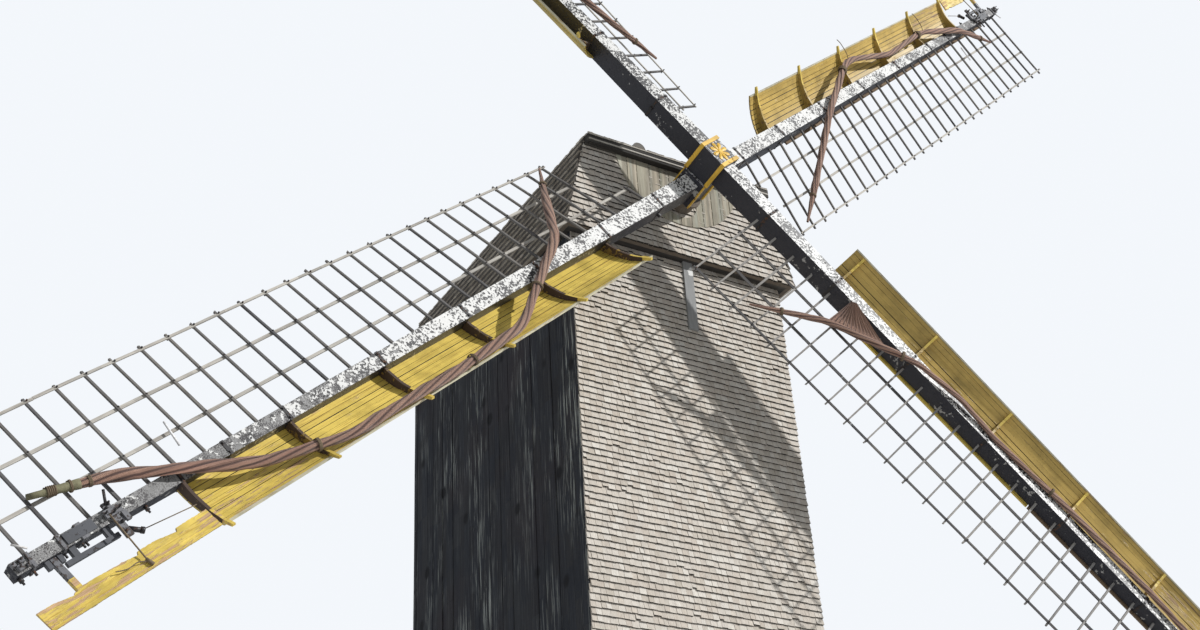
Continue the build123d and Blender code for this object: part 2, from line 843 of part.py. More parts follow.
broad_sweep = [
    on_bars(2150, 1545),
    on_bars(2950, 840, 70),
    over_stock(3700, -1.9),
    on_ribs(5500, 0.9),
    on_ribs(6900, 1.0),
    on_ribs(8800, 0.95),
    on_ribs(9900, 0.5),
    over_stock(10750, -0.5),
    on_bars(11350, 340, 40),
    on_bars(12050, 550),
]
looped = [
    on_bars(2100, 1500),
    on_bars(3000, 930, 30),
    over_stock(4300, -1.2),
    on_ribs(5890, 0.75, 15),
    on_ribs(7500, 0.35, 15),
    on_ribs(9130, 0.45, 15),
    over_stock(10500, -0.2),
    on_bars(11450, 560, 20),
]
along_stock = [
    on_bars(2100, 1440),
    on_bars(3050, 640, 30),
    over_stock(4400, -1.1),
    over_stock(5200, 0.3),
    on_ribs(6000, 0.1, 40),
    on_ribs(7500, 0.2, 20),
    on_ribs(9100, 0.2, 20),
    over_stock(10600, 0.2),
    on_bars(11400, 350, 30),
    on_bars(12000, 560),
]
cloth_routes = {
    "upper_right": looped,
    "upper_left": broad_sweep,
    "lower_left": broad_sweep,
    "lower_right": along_stock,
}


def furled(route):
    """A roll of cloth along its route, clear of the stock that it is bent round."""
    with BuildPart() as cloth:
        with BuildLine() as middle:
            FilletPolyline(*route, radius=cloth_bend)
        with BuildSketch(Plane(origin=middle.line @ 0, z_dir=middle.line % 0)):
            RegularPolygon(cloth_round / 2, 8)
        sweep()
        add(stock_block(flat_sail, seat), mode=Mode.SUBTRACT)
    return cloth.part


sail_names = {0: "upper_right", 1: "upper_left", 2: "lower_left", 3: "lower_right"}
for number, name in sail_names.items():
    place = arm_plane(number).location
    write(lattice.part.moved(place), f"lattice_{name}")
    write(Compound(children=[wide_board.part.moved(place), tip_board.part.moved(place)]), f"boards_{name}")
    write(Compound(children=[piece.moved(place) for piece in (*ribs, tip_arm_piece.part)]), f"ribs_{name}")
    write(furled(cloth_routes[name]).moved(place), f"cloth_{name}")

# Sill under the rear end of the sheers, and the tail pole that turns the mill
with BuildPart() as tail_sill_beam:
    with Locations((0, rear - tail_sill / 2, sheer_bottom - tail_sill / 2)):
        Box(2 * inner_half, tail_sill, tail_sill)
write(tail_sill_beam.part, "tail_sill")

pole_head = sheer_bottom - tail_sill / 2
pole_slope = (pole_end_height - pole_head) / (pole_reach - rear)
with BuildPart() as tail_pole:
    with BuildSketch(Plane.XZ.offset(-rear)):
        with Locations((0, pole_head)):
            Rectangle(pole_root, pole_root)
    with BuildSketch(Plane.XZ.offset(-pole_reach)):
        with Locations((0, pole_end_height)):
            Rectangle(pole_end, pole_end)
    loft()
write(tail_pole.part, "tail_pole")

# Steps: two stringers and open treads, hung from the buck and from a yoke on the pole
step_rise = floor_top / (step_count + 1)
step_slope = step_rise / step_going
stringer_drop = step_rise + step_thick + 60
with BuildPart() as stringers:
    for side in (-1, 1):
        edge = door_centre + side * (steps_width / 2 - stringer_thick / 2)
        with BuildSketch(Plane.YZ.offset(edge)):
            with BuildLine():
                Polyline(
                    (rear, floor_top),
                    (rear + (floor_top - foot_gap) / step_slope, foot_gap),
                    (rear + (floor_top - stringer_drop - foot_gap) / step_slope, foot_gap),
                    (rear, floor_top - stringer_drop),
                    close=True,
                )
            make_face()
        extrude(amount=stringer_thick / 2, both=True)
write(stringers.part, "step_stringers")

with BuildPart() as treads:
    for number in range(1, step_count + 1):
        tread_top = floor_top - number * step_rise
        with Locations((door_centre, rear + (number - 0.5) * step_going, tread_top - step_thick / 2)):
            Box(steps_width - 2 * stringer_thick - 2 * seat, step_going, step_thick)
write(treads.part, "step_treads")

# Yoke: a beam across the pole with an iron rod beside each stringer
yoke_share = (yoke_at - rear) / (pole_reach - rear)
pole_at_yoke = pole_root + (pole_end - pole_root) * yoke_share
yoke_bottom = pole_head + pole_slope * (yoke_at - rear) + pole_at_yoke / 2
yoke_top = yoke_bottom + yoke_side
yoke_left = -pole_root / 2 - yoke_side
yoke_right = door_centre + steps_width / 2 + 2 * rod_round
rod_foot = floor_top - step_slope * (yoke_at - rear) - stringer_drop / 2
top_slope = pole_slope + (pole_end - pole_root) / 2 / (pole_reach - rear)
with BuildPart() as yoke:
    with BuildSketch(Plane.YZ.offset(yoke_left)):
        with BuildLine():
            Polyline(
                (yoke_at - yoke_side / 2, yoke_bottom - top_slope * yoke_side / 2 + seat),
                (yoke_at + yoke_side / 2, yoke_bottom + top_slope * yoke_side / 2 + seat),
                (yoke_at + yoke_side / 2, yoke_top),
                (yoke_at - yoke_side / 2, yoke_top),
                close=True,
            )
        make_face()
    extrude(amount=yoke_right - yoke_left)
    for side in (-1, 1):
        rod_x = door_centre + side * (steps_width / 2 + rod_round / 2 + seat)
        with BuildSketch(Plane.XY.offset(rod_foot)):
            with Locations((rod_x, yoke_at)):
                Circle(rod_round / 2)
        extrude(amount=yoke_bottom + yoke_side / 2 - rod_foot)
write(yoke.part, "step_yoke")
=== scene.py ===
# %% [markdown]
# # Dressing a post mill
# A post mill is a boarded wooden house that turns on one huge post. Its sails carry most of what
# catches the eye: flaking white stocks, yellow leading boards, lattice and rolled-up canvas.
# The frame below is the finished CAD model. This lesson adds what covers it: shingles, boards,
# bricks, canvas and paint. All lengths are in metres.

# %% Load the frame
import itertools
import math
import random

import bpy
import numpy as np
from mathutils import Matrix, Vector


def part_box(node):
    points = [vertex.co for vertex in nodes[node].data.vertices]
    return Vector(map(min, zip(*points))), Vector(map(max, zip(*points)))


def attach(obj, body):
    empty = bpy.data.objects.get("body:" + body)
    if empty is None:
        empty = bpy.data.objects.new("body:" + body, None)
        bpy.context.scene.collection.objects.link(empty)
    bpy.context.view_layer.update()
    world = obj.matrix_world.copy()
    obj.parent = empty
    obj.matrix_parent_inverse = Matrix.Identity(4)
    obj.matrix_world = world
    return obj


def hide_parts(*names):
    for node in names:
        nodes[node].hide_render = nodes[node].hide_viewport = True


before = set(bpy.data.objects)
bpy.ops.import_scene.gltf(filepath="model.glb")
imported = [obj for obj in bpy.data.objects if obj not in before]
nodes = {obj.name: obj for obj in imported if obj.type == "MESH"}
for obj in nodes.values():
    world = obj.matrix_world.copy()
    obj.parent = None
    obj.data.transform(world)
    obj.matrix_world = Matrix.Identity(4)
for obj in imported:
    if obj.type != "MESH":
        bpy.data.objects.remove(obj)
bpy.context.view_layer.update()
scene = bpy.context.scene
X, Y, Z = Vector((1, 0, 0)), Vector((0, 1, 0)), Vector((0, 0, 1))
print("nodes in the frame:", len(nodes))

# %% [markdown]
# ## The camera
# The photograph looks up at the mill from the front left. Its vanishing points give the camera:
# where it stands, where it looks, how far it is rolled and how long its lens is.

# %% Camera
CAMERA_AT = Vector((-11.883, -18.971, 0.300))
YAW, PITCH, ROLL = (math.radians(a) for a in (32.04, 31.97, -3.66))
FOCAL_PIXELS, PHOTO_WIDTH, SENSOR_WIDTH = 1571.5, 1200, 36
ahead = Vector((math.sin(YAW) * math.cos(PITCH), math.cos(YAW) * math.cos(PITCH), math.sin(PITCH)))
level_right = Vector((math.cos(YAW), -math.sin(YAW), 0))
level_up = level_right.cross(ahead)
right = level_right * math.cos(ROLL) + level_up * math.sin(ROLL)
up = level_up * math.cos(ROLL) - level_right * math.sin(ROLL)
lens = bpy.data.cameras.new("photo_camera")
lens.sensor_width = SENSOR_WIDTH
lens.lens = FOCAL_PIXELS / PHOTO_WIDTH * SENSOR_WIDTH
lens.clip_end = 300
camera = bpy.data.objects.new("photo_camera", lens)
camera.matrix_world = Matrix.Translation(CAMERA_AT) @ Matrix((right, up, -ahead)).transposed().to_4x4()
scene.collection.objects.link(camera)
scene.camera = camera
print("lens in mm:", round(lens.lens, 1))

# %% [markdown]
# ## Light and backdrop
# A soft sun from the front right draws a shadow under each shingle, and an even sky fills the
# shade. The camera sees a pale sky, while the light that falls on the mill stays at a plain level.

# %% Light and backdrop
def node(tree, kind, inputs=(), **settings):
    """Adds a node, sets its properties, and links its inputs or sets their values."""
    made = tree.nodes.new(kind)
    for key, value in settings.items():
        setattr(made, key, value)
    for key, source in dict(inputs).items():
        if isinstance(source, bpy.types.NodeSocket):
            tree.links.new(source, made.inputs[key])
        else:
            made.inputs[key].default_value = source
    return made


def calc(tree, operation, *values):
    return node(tree, "ShaderNodeMath", dict(enumerate(values)), operation=operation).outputs[0]


scene.view_settings.view_transform = "Standard"
sun = bpy.data.lights.new("sun", "SUN")
sun.energy, sun.angle = 3.7, math.radians(1.3)
sun_object = bpy.data.objects.new("sun", sun)
sun_object.rotation_euler = Vector((0.93, -1.0, 0.85)).to_track_quat("Z", "Y").to_euler()
scene.collection.objects.link(sun_object)

world = bpy.data.worlds.new("sky")
scene.world = world
world.use_nodes = True
sky = world.node_tree
sky.nodes.clear()
seen = node(sky, "ShaderNodeBackground", {"Color": (0.90, 0.93, 0.97, 1)}).outputs[0]
fill = node(sky, "ShaderNodeBackground", {"Color": (0.86, 0.92, 1.0, 1), "Strength": 0.40}).outputs[0]
path = node(sky, "ShaderNodeLightPath").outputs
looked_at = calc(sky, "MAXIMUM", path["Is Camera Ray"], path["Is Transmission Ray"])
sky_mix = node(sky, "ShaderNodeMixShader", {0: looked_at, 1: fill, 2: seen}).outputs[0]
node(sky, "ShaderNodeOutputWorld", {"Surface": sky_mix})
print("sun energy:", sun.energy)

# %% [markdown]
# ## Making pieces
# Every piece is a mesh of its own that rides on a body of the frame. Shingles, bricks and boards
# are many small blocks in one mesh, so one class collects their corners and turns them into a
# piece. Separate objects would look the same, but thousands of them would make the file slow.

# %% Blocks and pieces
BLOCK_FACES = ((0, 1, 3, 2), (4, 6, 7, 5), (0, 4, 5, 1), (2, 3, 7, 6), (0, 2, 6, 4), (1, 5, 7, 3))


class Shape:
    """Corners and faces of one piece, with a kind for each face where it has several materials."""

    def __init__(self):
        self.points, self.faces, self.kinds, self.smooth = [], [], [], False

    def block(self, corners, kinds=()):
        start = len(self.points)
        self.points += corners
        self.faces += [tuple(start + i for i in face) for face in BLOCK_FACES]
        self.kinds += kinds

    def box(self, low, high, place=Matrix()):
        self.block([place @ Vector(corner) for corner in itertools.product(*zip(low, high))])

    def piece(self, name, material, body, slot, replaces=(), place=None):
        """Makes the mesh object, in the frame's own axes or in those of a sail."""
        mesh = bpy.data.meshes.new(name)
        mesh.from_pydata([tuple(p) for p in self.points], [], self.faces)
        mesh.update()
        for one in material if isinstance(material, list) else [material]:
            mesh.materials.append(one)
        if self.smooth:
            mesh.polygons.foreach_set("use_smooth", [True] * len(mesh.polygons))
        if self.kinds:
            mesh.polygons.foreach_set("material_index", self.kinds)
        piece = bpy.data.objects.new(name, mesh)
        scene.collection.objects.link(piece)
        if place is not None:
            piece.matrix_world = place
        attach(piece, body)
        if replaces:
            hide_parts(*replaces)
        print(name, len(mesh.polygons), "faces")
        return piece


# %% [markdown]
# ## Shared effects
# Several finishes need the same three effects: wood grain that runs one way, paint that has
# flaked off in patches, and rain streaks. Each is a node group with its own inputs, so a material
# only sets how strong and how large the effect is.

# %% Node helpers
def stretched(tree, vector, factors):
    return node(tree, "ShaderNodeVectorMath", {0: vector, 1: factors}, operation="MULTIPLY").outputs[0]


def measured(tree, operation, vector, other):
    """A number from two vectors, such as their distance."""
    return node(tree, "ShaderNodeVectorMath", {0: vector, 1: other}, operation=operation).outputs["Value"]


def fit(tree, value, low, high, to_low=0.0, to_high=1.0):
    """Carries a value over from one range to another."""
    return node(tree, "ShaderNodeMapRange", dict(enumerate((value, low, high, to_low, to_high)))).outputs[0]


def noise(tree, vector, scale, detail, roughness=0.5):
    inputs = {"Vector": vector, "Scale": scale, "Detail": detail, "Roughness": roughness}
    return node(tree, "ShaderNodeTexNoise", inputs).outputs["Fac"]

# %% Group helpers
def open_group(name, **inputs):
    """A node group. An input whose first value is a float is a number, the others are vectors."""
    group = bpy.data.node_groups.new(name, "ShaderNodeTree")
    for label, value in inputs.items():
        kind = "NodeSocketFloat" if isinstance(value, float) else "NodeSocketVector"
        group.interface.new_socket(label, in_out="INPUT", socket_type=kind).default_value = value
    return group, group.nodes.new("NodeGroupInput").outputs


def close_group(group, **results):
    for label in results:
        group.interface.new_socket(label, in_out="OUTPUT", socket_type="NodeSocketFloat")
    node(group, "NodeGroupOutput", results)


def use(tree, group, *values):
    """Adds a shared effect, with its inputs in their order."""
    return node(tree, "ShaderNodeGroup", dict(enumerate(values)), node_tree=group).outputs


# %% Grain
grain, given = open_group("wood_grain", Vector=(0, 0, 0), Stretch=(60, 60, 4), Sharpness=0.5)
drawn = stretched(grain, given["Vector"], given["Stretch"])
low_edge = calc(grain, "MULTIPLY", given["Sharpness"], 0.38)
high_edge = calc(grain, "SUBTRACT", 1.0, low_edge)
close_group(grain, Fine=fit(grain, noise(grain, drawn, 1.0, 6.0, 0.65), low_edge, high_edge),
            Broad=noise(grain, drawn, 0.12, 3.0))

# %% Flaking
flaking, given = open_group("flaking", Vector=(0, 0, 0), Scale=6.0, Left=0.5, Patches=0.5)
small = noise(flaking, given["Vector"], given["Scale"], 5.0, 0.62)
large = noise(flaking, given["Vector"], calc(flaking, "MULTIPLY", given["Scale"], 0.13), 2.0)
weighed = calc(flaking, "MULTIPLY", calc(flaking, "SUBTRACT", large, 0.5), given["Patches"])
over = calc(flaking, "SUBTRACT", calc(flaking, "ADD", small, weighed), calc(flaking, "SUBTRACT", 1.0, given["Left"]))
paint_left = fit(flaking, over, -0.006, 0.006)
rim = fit(flaking, over, 0.0, 0.05, 1.0, 0.0)
close_group(flaking, Paint=paint_left, Edge=calc(flaking, "MULTIPLY", rim, paint_left))

# %% Streaks
streaks, given = open_group("rain_streaks", Vector=(0, 0, 0), Stretch=(9, 9, 0.35), Amount=0.5, Soft=0.30)
drips = noise(streaks, stretched(streaks, given["Vector"], given["Stretch"]), 1.0, 4.0, 0.6)
start = calc(streaks, "SUBTRACT", 0.78, given["Amount"])
close_group(streaks, Mask=fit(streaks, drips, start, calc(streaks, "ADD", start, given["Soft"])))
print("shared groups:", [g.name for g in bpy.data.node_groups])

# %% [markdown]
# ## Finishes
# Each finish starts from object coordinates, so it stays on the piece when the mill turns. A
# random value per island gives every shingle, board and brick a shade of its own.

# %% Material helpers
def new_material(name):
    """A material, its nodes, the coordinates of a point on it and a random value per island."""
    material = bpy.data.materials.new(name)
    material.use_nodes = True
    tree = material.node_tree
    at = node(tree, "ShaderNodeTexCoord").outputs
    return material, tree, at, node(tree, "ShaderNodeNewGeometry").outputs["Random Per Island"]


def times(colour, factor):
    return tuple(factor * c for c in colour)


def mix(tree, factor, first, second, blend="MIX"):
    inputs = {key: (*v, 1) if isinstance(v, tuple) else v for key, v in {0: factor, 6: first, 7: second}.items()}
    return node(tree, "ShaderNodeMix", inputs, data_type="RGBA", blend_type=blend).outputs[2]


def ramp(tree, value, colours, places=None):
    """Colours in turn as a value goes from 0 to 1, evenly spread or at the given places."""
    made = node(tree, "ShaderNodeValToRGB", {0: value})
    stops = made.color_ramp.elements
    while len(stops) < len(colours):
        stops.new(0.5)
    for i, (stop, colour) in enumerate(zip(stops, colours)):
        stop.position = places[i] if places else i / max(1, len(colours) - 1)
        stop.color = (*colour, 1)
    return made.outputs[0]


def surface(tree, colour, height, rough, strength, distance, specular=0.5):
    """Colours the shader, and drives its roughness and a bump from one height."""
    shader = tree.nodes["Principled BSDF"].inputs
    shader["Specular IOR Level"].default_value = specular
    tree.links.new(colour, shader["Base Color"])
    tree.links.new(fit(tree, height, 0.0, 1.0, *rough), shader["Roughness"])
    bump = node(tree, "ShaderNodeBump", {"Height": height, "Strength": strength, "Distance": distance})
    tree.links.new(bump.outputs["Normal"], shader["Normal"])


# %% Wood finishes
def wood(name, shades, stretch, streak=None, amount=0.3, streak_stretch=(9, 9, 0.35), depth=0.55, patchy=0.8,
         stain=None, clumps=None, knots=None, soft=0.30):
    """Bare weathered wood: a shade for each board, grain that runs one way, rain streaks and a
    stain. Clumps gather the streaks in places, knots are dark ovals."""
    material, tree, at, own = new_material(name)
    here = at["Object"]
    shade = ramp(tree, own, shades)
    lines = use(tree, grain, here, stretch, 0.7)
    darker = mix(tree, 1.0, shade, (0.35, 0.33, 0.32), "MULTIPLY")
    colour = mix(tree, calc(tree, "MULTIPLY", lines["Fine"], depth), shade, darker)
    patch = mix(tree, lines["Broad"], (0.72, 0.72, 0.74), (1.25, 1.22, 1.18))
    colour = mix(tree, patchy, colour, patch, "MULTIPLY")
    if stain:
        colour = mix(tree, fit(tree, noise(tree, here, stain[1], 4.0), 0.50, 0.72, 0.0, 0.8), colour, stain[0])
    if streak:
        mask = use(tree, streaks, here, streak_stretch, amount, soft)["Mask"]
        if clumps:
            cloud = noise(tree, stretched(tree, here, clumps), 1.0, 3.0)
            mask = calc(tree, "MULTIPLY", mask, fit(tree, cloud, 0.45, 0.66, 0.05))
        colour = mix(tree, mask, colour, streak)
    if knots:
        cell = node(tree, "ShaderNodeTexVoronoi", {"Vector": stretched(tree, here, knots), "Scale": 1.0})
        spot = fit(tree, cell.outputs["Distance"], 0.10, 0.17, 0.9, 0.0)
        colour = mix(tree, spot, colour, (0.012, 0.012, 0.014))
    surface(tree, colour, lines["Fine"], (0.75, 0.97), 0.5, 0.006, specular=0.25)
    return material


shingle_light = wood(
    "sunned_shingle",
    [(0.52, 0.47, 0.40), (0.68, 0.63, 0.56), (0.60, 0.55, 0.48), (0.74, 0.70, 0.63), (0.56, 0.50, 0.43),
     (0.65, 0.59, 0.51)],
    (70, 70, 5), (0.30, 0.26, 0.22), 0.17, depth=0.45, patchy=0.4)
shingle_dark = wood(
    "shaded_shingle",
    [(0.055, 0.048, 0.042), (0.11, 0.098, 0.084), (0.17, 0.15, 0.13), (0.075, 0.066, 0.058), (0.13, 0.115, 0.095)],
    (70, 70, 5), (0.26, 0.24, 0.20), 0.26)
# The wall shingles' lower edges are near black: painted shade under each course.
shingle_end_shade = wood("shingle_end_painted_shade", [(0.020, 0.018, 0.015), (0.050, 0.043, 0.036)], (60, 60, 60))
butt_pale = wood("dry_shingle_end", [(0.46, 0.41, 0.34), (0.80, 0.74, 0.64)], (8, 2, 8), depth=0.8)
tarred_board = wood(
    "tarred_board",
    [(0.033, 0.037, 0.047), (0.043, 0.047, 0.057), (0.037, 0.038, 0.044), (0.050, 0.053, 0.060)],
    (45, 45, 0.9), (0.42, 0.44, 0.41), 0.24, (34, 34, 1.4), stain=((0.045, 0.038, 0.042), 0.6),
    clumps=(1.3, 1.3, 0.5), knots=(1.5, 1.5, 1.3), soft=0.07)
timber_x, timber_y, timber_z = (
    wood(name, [(0.15, 0.125, 0.10), (0.22, 0.185, 0.145), (0.18, 0.15, 0.12)], stretch, (0.07, 0.06, 0.05), 0.28,
         times(stretch, 1 / 6), stain=((0.10, 0.095, 0.085), 0.5))
    for name, stretch in (("timber_across", (2.5, 45, 45)), ("timber_lengthwise", (45, 2.5, 45)),
                          ("timber_upright", (45, 45, 2.5))))
dark_timber = wood("tarred_timber", [(0.035, 0.033, 0.031), (0.055, 0.050, 0.046)], (2.5, 45, 45),
                   (0.14, 0.13, 0.11), 0.27, (0.6, 9, 9))
apron_board = wood(
    "lichened_board", [(0.40, 0.40, 0.31), (0.55, 0.49, 0.38), (0.47, 0.48, 0.40), (0.36, 0.32, 0.25)],
    (18, 18, 2.5), (0.17, 0.15, 0.12), 0.30, (14, 14, 1.2))
inside_wood = wood("inside_wood", [(0.16, 0.13, 0.10), (0.20, 0.165, 0.13)], (20, 20, 6), (0.09, 0.08, 0.07), 0.2)

# %% Lattice wood
ACROSS, ALONG = ((60, 5, 60), (8, 1, 8)), ((5, 60, 60), (1, 8, 8))     # stretch of grain and streaks


def sail_wood(name, shades, streak, amount, run, patchy=0.5):
    return wood(name, shades, run[0], streak, amount, run[1], patchy=patchy)


# Bars darker than the laths: weathered wood, and painted shade for the undersides seen from below.
bars_weathered_and_shaded = sail_wood("lattice_bar", [(0.12, 0.12, 0.125), (0.21, 0.20, 0.19), (0.155, 0.15, 0.145),
                                     (0.26, 0.245, 0.225)], (0.05, 0.045, 0.045), 0.27, ACROSS)
# Lit copy of the bar wood for the lower right sail: painted sunlight.
sunlit_bars = sail_wood("lattice_bar_painted_sunlight", [(0.30, 0.29, 0.28), (0.42, 0.40, 0.37), (0.36, 0.34, 0.32)],
                     (0.12, 0.11, 0.10), 0.25, ACROSS)
# Shaded copy of the lath wood for the lower right sail: painted shade.
shaded_laths = sail_wood("lattice_lath_painted_shade", [(0.085, 0.085, 0.09), (0.14, 0.135, 0.13), (0.11, 0.105, 0.105)],
                      (0.30, 0.28, 0.25), 0.25, ALONG)
lath_wood = sail_wood("lattice_lath", [(0.42, 0.40, 0.36), (0.60, 0.57, 0.51), (0.50, 0.47, 0.42)],
                      (0.15, 0.13, 0.11), 0.25, ALONG)
back_wood = sail_wood("backing_board", [(0.20, 0.14, 0.085), (0.26, 0.185, 0.12)], (0.08, 0.06, 0.05), 0.28,
                      ALONG, 0.8)
stick_wood = wood("stick_wood", [(0.45, 0.41, 0.35)], ALONG[0])

# %% Painted finishes
PAINT_THINS = (6.5, 12.5)       # along a sail, where the boards' paint begins to thin and where it is thinnest


def painted(name, paint, bare, left, scale, patches, stretch=(1, 1, 1), tip_left=None):
    """Paint that has flaked off its ground in small patches. On boards it has weathered in grooves
    along the grain as well, and less of it is left towards the tip."""
    material, tree, at, own = new_material(name)
    here = at["Object"]
    if tip_left:
        out = node(tree, "ShaderNodeSeparateXYZ", {0: here}).outputs["X"]
        left = fit(tree, out, *PAINT_THINS, left, tip_left)
    flakes = use(tree, flaking, stretched(tree, here, stretch), scale, left, patches)
    dirt = use(tree, streaks, here, (2.5, 2.5, 2.5), 0.34)["Mask"]
    colour = mix(tree, dirt, ramp(tree, own, [times(paint, 0.84), paint]), times(paint, 0.55))
    if tip_left:
        grooves = use(tree, grain, here, (1.2, 70, 70), 0.95)["Fine"]
        colour = mix(tree, fit(tree, grooves, 0.62, 0.95, 0.0, 0.75), colour, (0.42, 0.26, 0.055))
        bare = mix(tree, grooves, bare, times(bare, 1.9))
    high = calc(tree, "ADD", flakes["Paint"], flakes["Edge"])
    surface(tree, mix(tree, flakes["Paint"], bare, colour), high, (0.85, 0.45), 0.55, 0.004, specular=0.4)
    return material


yellow_paint = painted("yellow_board_paint", (0.84, 0.62, 0.13), (0.34, 0.22, 0.12), 0.72, 22, 0.35, (0.10, 1, 1),
                       0.545)
# A darker copy of the yellow board paint: painted shade for the two sails whose boards the sun only grazes.
shaded_yellow = painted("shaded_yellow_paint", (0.66, 0.455, 0.12), (0.30, 0.20, 0.11), 0.70, 22, 0.35, (0.10, 1, 1),
                      0.56)
# Rib sides darker than the yellow paint: weathering and painted shade, ochre where the sun grazes, brown in deep shade.
rib_shade_ochre = painted("rib_sides_painted_half_shade", (0.52, 0.36, 0.10), (0.22, 0.145, 0.075), 0.62, 12, 0.6)
rib_shade_brown = painted("rib_sides_painted_shade", (0.34, 0.22, 0.06), (0.075, 0.050, 0.038), 0.45, 14, 0.7)
edge_paint = painted("pale_board_edge", (0.78, 0.72, 0.52), (0.45, 0.36, 0.22), 0.62, 20, 0.4, (0.15, 1, 1))
rim_paint = painted("yellow_rim_paint", (0.82, 0.50, 0.06), (0.30, 0.16, 0.05), 0.64, 16, 0.4)
strap_iron = painted("strap_iron", (0.034, 0.031, 0.032), (0.12, 0.06, 0.035), 0.6, 30, 0.4)
grey_iron = painted("worn_grey_iron", (0.17, 0.17, 0.18), (0.07, 0.055, 0.05), 0.52, 24, 0.6)
dark_steel = painted("dark_steel", (0.075, 0.078, 0.088), (0.05, 0.04, 0.035), 0.66, 20, 0.5)
print("materials so far:", len(bpy.data.materials))

# %% [markdown]
# ## The stocks' paint
# Only the face that looks into the wind is white, and it has flaked to grey primer in speckles.
# The other faces are black. The surface's own normal, in object space, tells them apart.

# %% Stock paint
TILT = math.radians(8.0)
WINDWARD = Vector((0, -math.cos(TILT), math.sin(TILT)))
HUB = Vector((0, -3.5, 15.07))


def facing(tree, at, direction):
    """1 on the faces that look in a direction, 0 on the others."""
    return calc(tree, "GREATER_THAN", measured(tree, "DOT_PRODUCT", at["Normal"], direction), 0.7)


def stock_paint(name, left, white, primer_light, patches=0.45, worn=(20.0, 21.0, 0.6)):
    """White paint in fine speckles over grey primer. Worn gives two distances from the hub, and
    how much paint is left past the second."""
    material, tree, at, own = new_material(name)
    here = at["Object"]
    amount = fit(tree, measured(tree, "DISTANCE", here, HUB), worn[0], worn[1], 0.68, worn[2])
    broad = use(tree, flaking, here, 11.0, amount, 0.5)["Paint"]
    fine = use(tree, flaking, here, 27.0, left, patches)["Paint"]
    specks = use(tree, flaking, here, 68.0, 0.50, 0.5)
    few = use(tree, flaking, here, 12.0, 0.34, 0.6)["Paint"]
    primer = mix(tree, specks["Paint"], (0.060, 0.055, 0.055), primer_light)
    bare = mix(tree, specks["Edge"], primer, times(white, 0.7))
    worn_white = mix(tree, specks["Paint"], times(white, 0.92), white)
    front = mix(tree, broad, bare, mix(tree, fine, (0.028, 0.026, 0.026), worn_white))
    side = mix(tree, few, (0.026, 0.026, 0.034), (0.40, 0.39, 0.37))
    colour = mix(tree, facing(tree, at, WINDWARD), side, front)
    surface(tree, colour, calc(tree, "ADD", fine, broad), (0.8, 0.45), 0.6, 0.004)
    return material


rear_stock_paint = stock_paint("rear_stock_paint", 0.535, (0.70, 0.69, 0.66), (0.21, 0.205, 0.20),
                               worn=(5.5, 11.0, 0.40))
front_stock_paint = stock_paint("front_stock_paint", 0.50, (0.70, 0.69, 0.66), (0.17, 0.165, 0.16))
poll_paint = stock_paint("poll_paint", 0.46, (0.52, 0.52, 0.52), (0.20, 0.20, 0.20), 0.3)

# %% [markdown]
# ## Canvas and brick
# The rolled canvas has a fine weave and folds, and the hollows between its strands are painted near
# black, as painted shade. Bricks get a shade each, with a sandy, pitted surface.

# %% Canvas
def canvas_finish():
    material, tree, at, own = new_material("sail_canvas")
    folds = use(tree, grain, at["UV"], (1.4, 3.2, 1), 0.97)
    weave = node(tree, "ShaderNodeTexWave", {"Vector": at["Object"], "Scale": 160.0, "Distortion": 1.5, "Detail": 2.0})
    around = node(tree, "ShaderNodeSeparateXYZ", {0: at["UV"]}).outputs["Y"]
    swell = calc(tree, "ABSOLUTE", calc(tree, "COSINE", calc(tree, "MULTIPLY", around, math.pi)))
    base = mix(tree, folds["Fine"], (0.40, 0.20, 0.14), (0.16, 0.065, 0.05))
    faded = mix(tree, folds["Broad"], base, (0.42, 0.28, 0.20))
    # Hollows between the strands darkened to near black: painted shade in the creases.
    crease_shaded = mix(tree, fit(tree, swell, 0.25, 0.75, 0.85, 0.0), faded, (0.045, 0.020, 0.018))
    tree.nodes["Principled BSDF"].inputs["Sheen Weight"].default_value = 0.2
    surface(tree, crease_shaded, calc(tree, "ADD", folds["Fine"], weave.outputs["Fac"]), (0.8, 0.98), 0.5, 0.008)
    return material


canvas = canvas_finish()
green_canvas = wood("mossy_canvas", [(0.20, 0.20, 0.11), (0.30, 0.28, 0.18)], (30, 30, 30), (0.10, 0.09, 0.06), 0.3)
rope = wood("hemp_rope", [(0.16, 0.12, 0.08), (0.26, 0.20, 0.13)], (90, 90, 90))

# %% Brick and mortar
def brick_finish():
    material, tree, at, own = new_material("red_brick")
    reds = [(0.24, 0.075, 0.045), (0.36, 0.125, 0.075), (0.30, 0.10, 0.06), (0.42, 0.17, 0.10), (0.17, 0.07, 0.055)]
    shade = ramp(tree, own, reds, (0.0, 0.3, 0.6, 0.8, 1.0))
    sand = noise(tree, at["Object"], 90.0, 5.0)
    bloom = use(tree, streaks, at["Object"], (3, 3, 2), 0.26)["Mask"]
    speckled = mix(tree, sand, shade, mix(tree, 1.0, shade, (0.55, 0.5, 0.5), "MULTIPLY"))
    surface(tree, mix(tree, bloom, speckled, (0.42, 0.38, 0.34)), sand, (0.8, 0.98), 0.6, 0.004)
    return material


red_brick = brick_finish()
lime_mortar = wood("lime_mortar", [(0.40, 0.37, 0.32), (0.46, 0.43, 0.38)], (60, 60, 60))
print("materials:", len(bpy.data.materials))

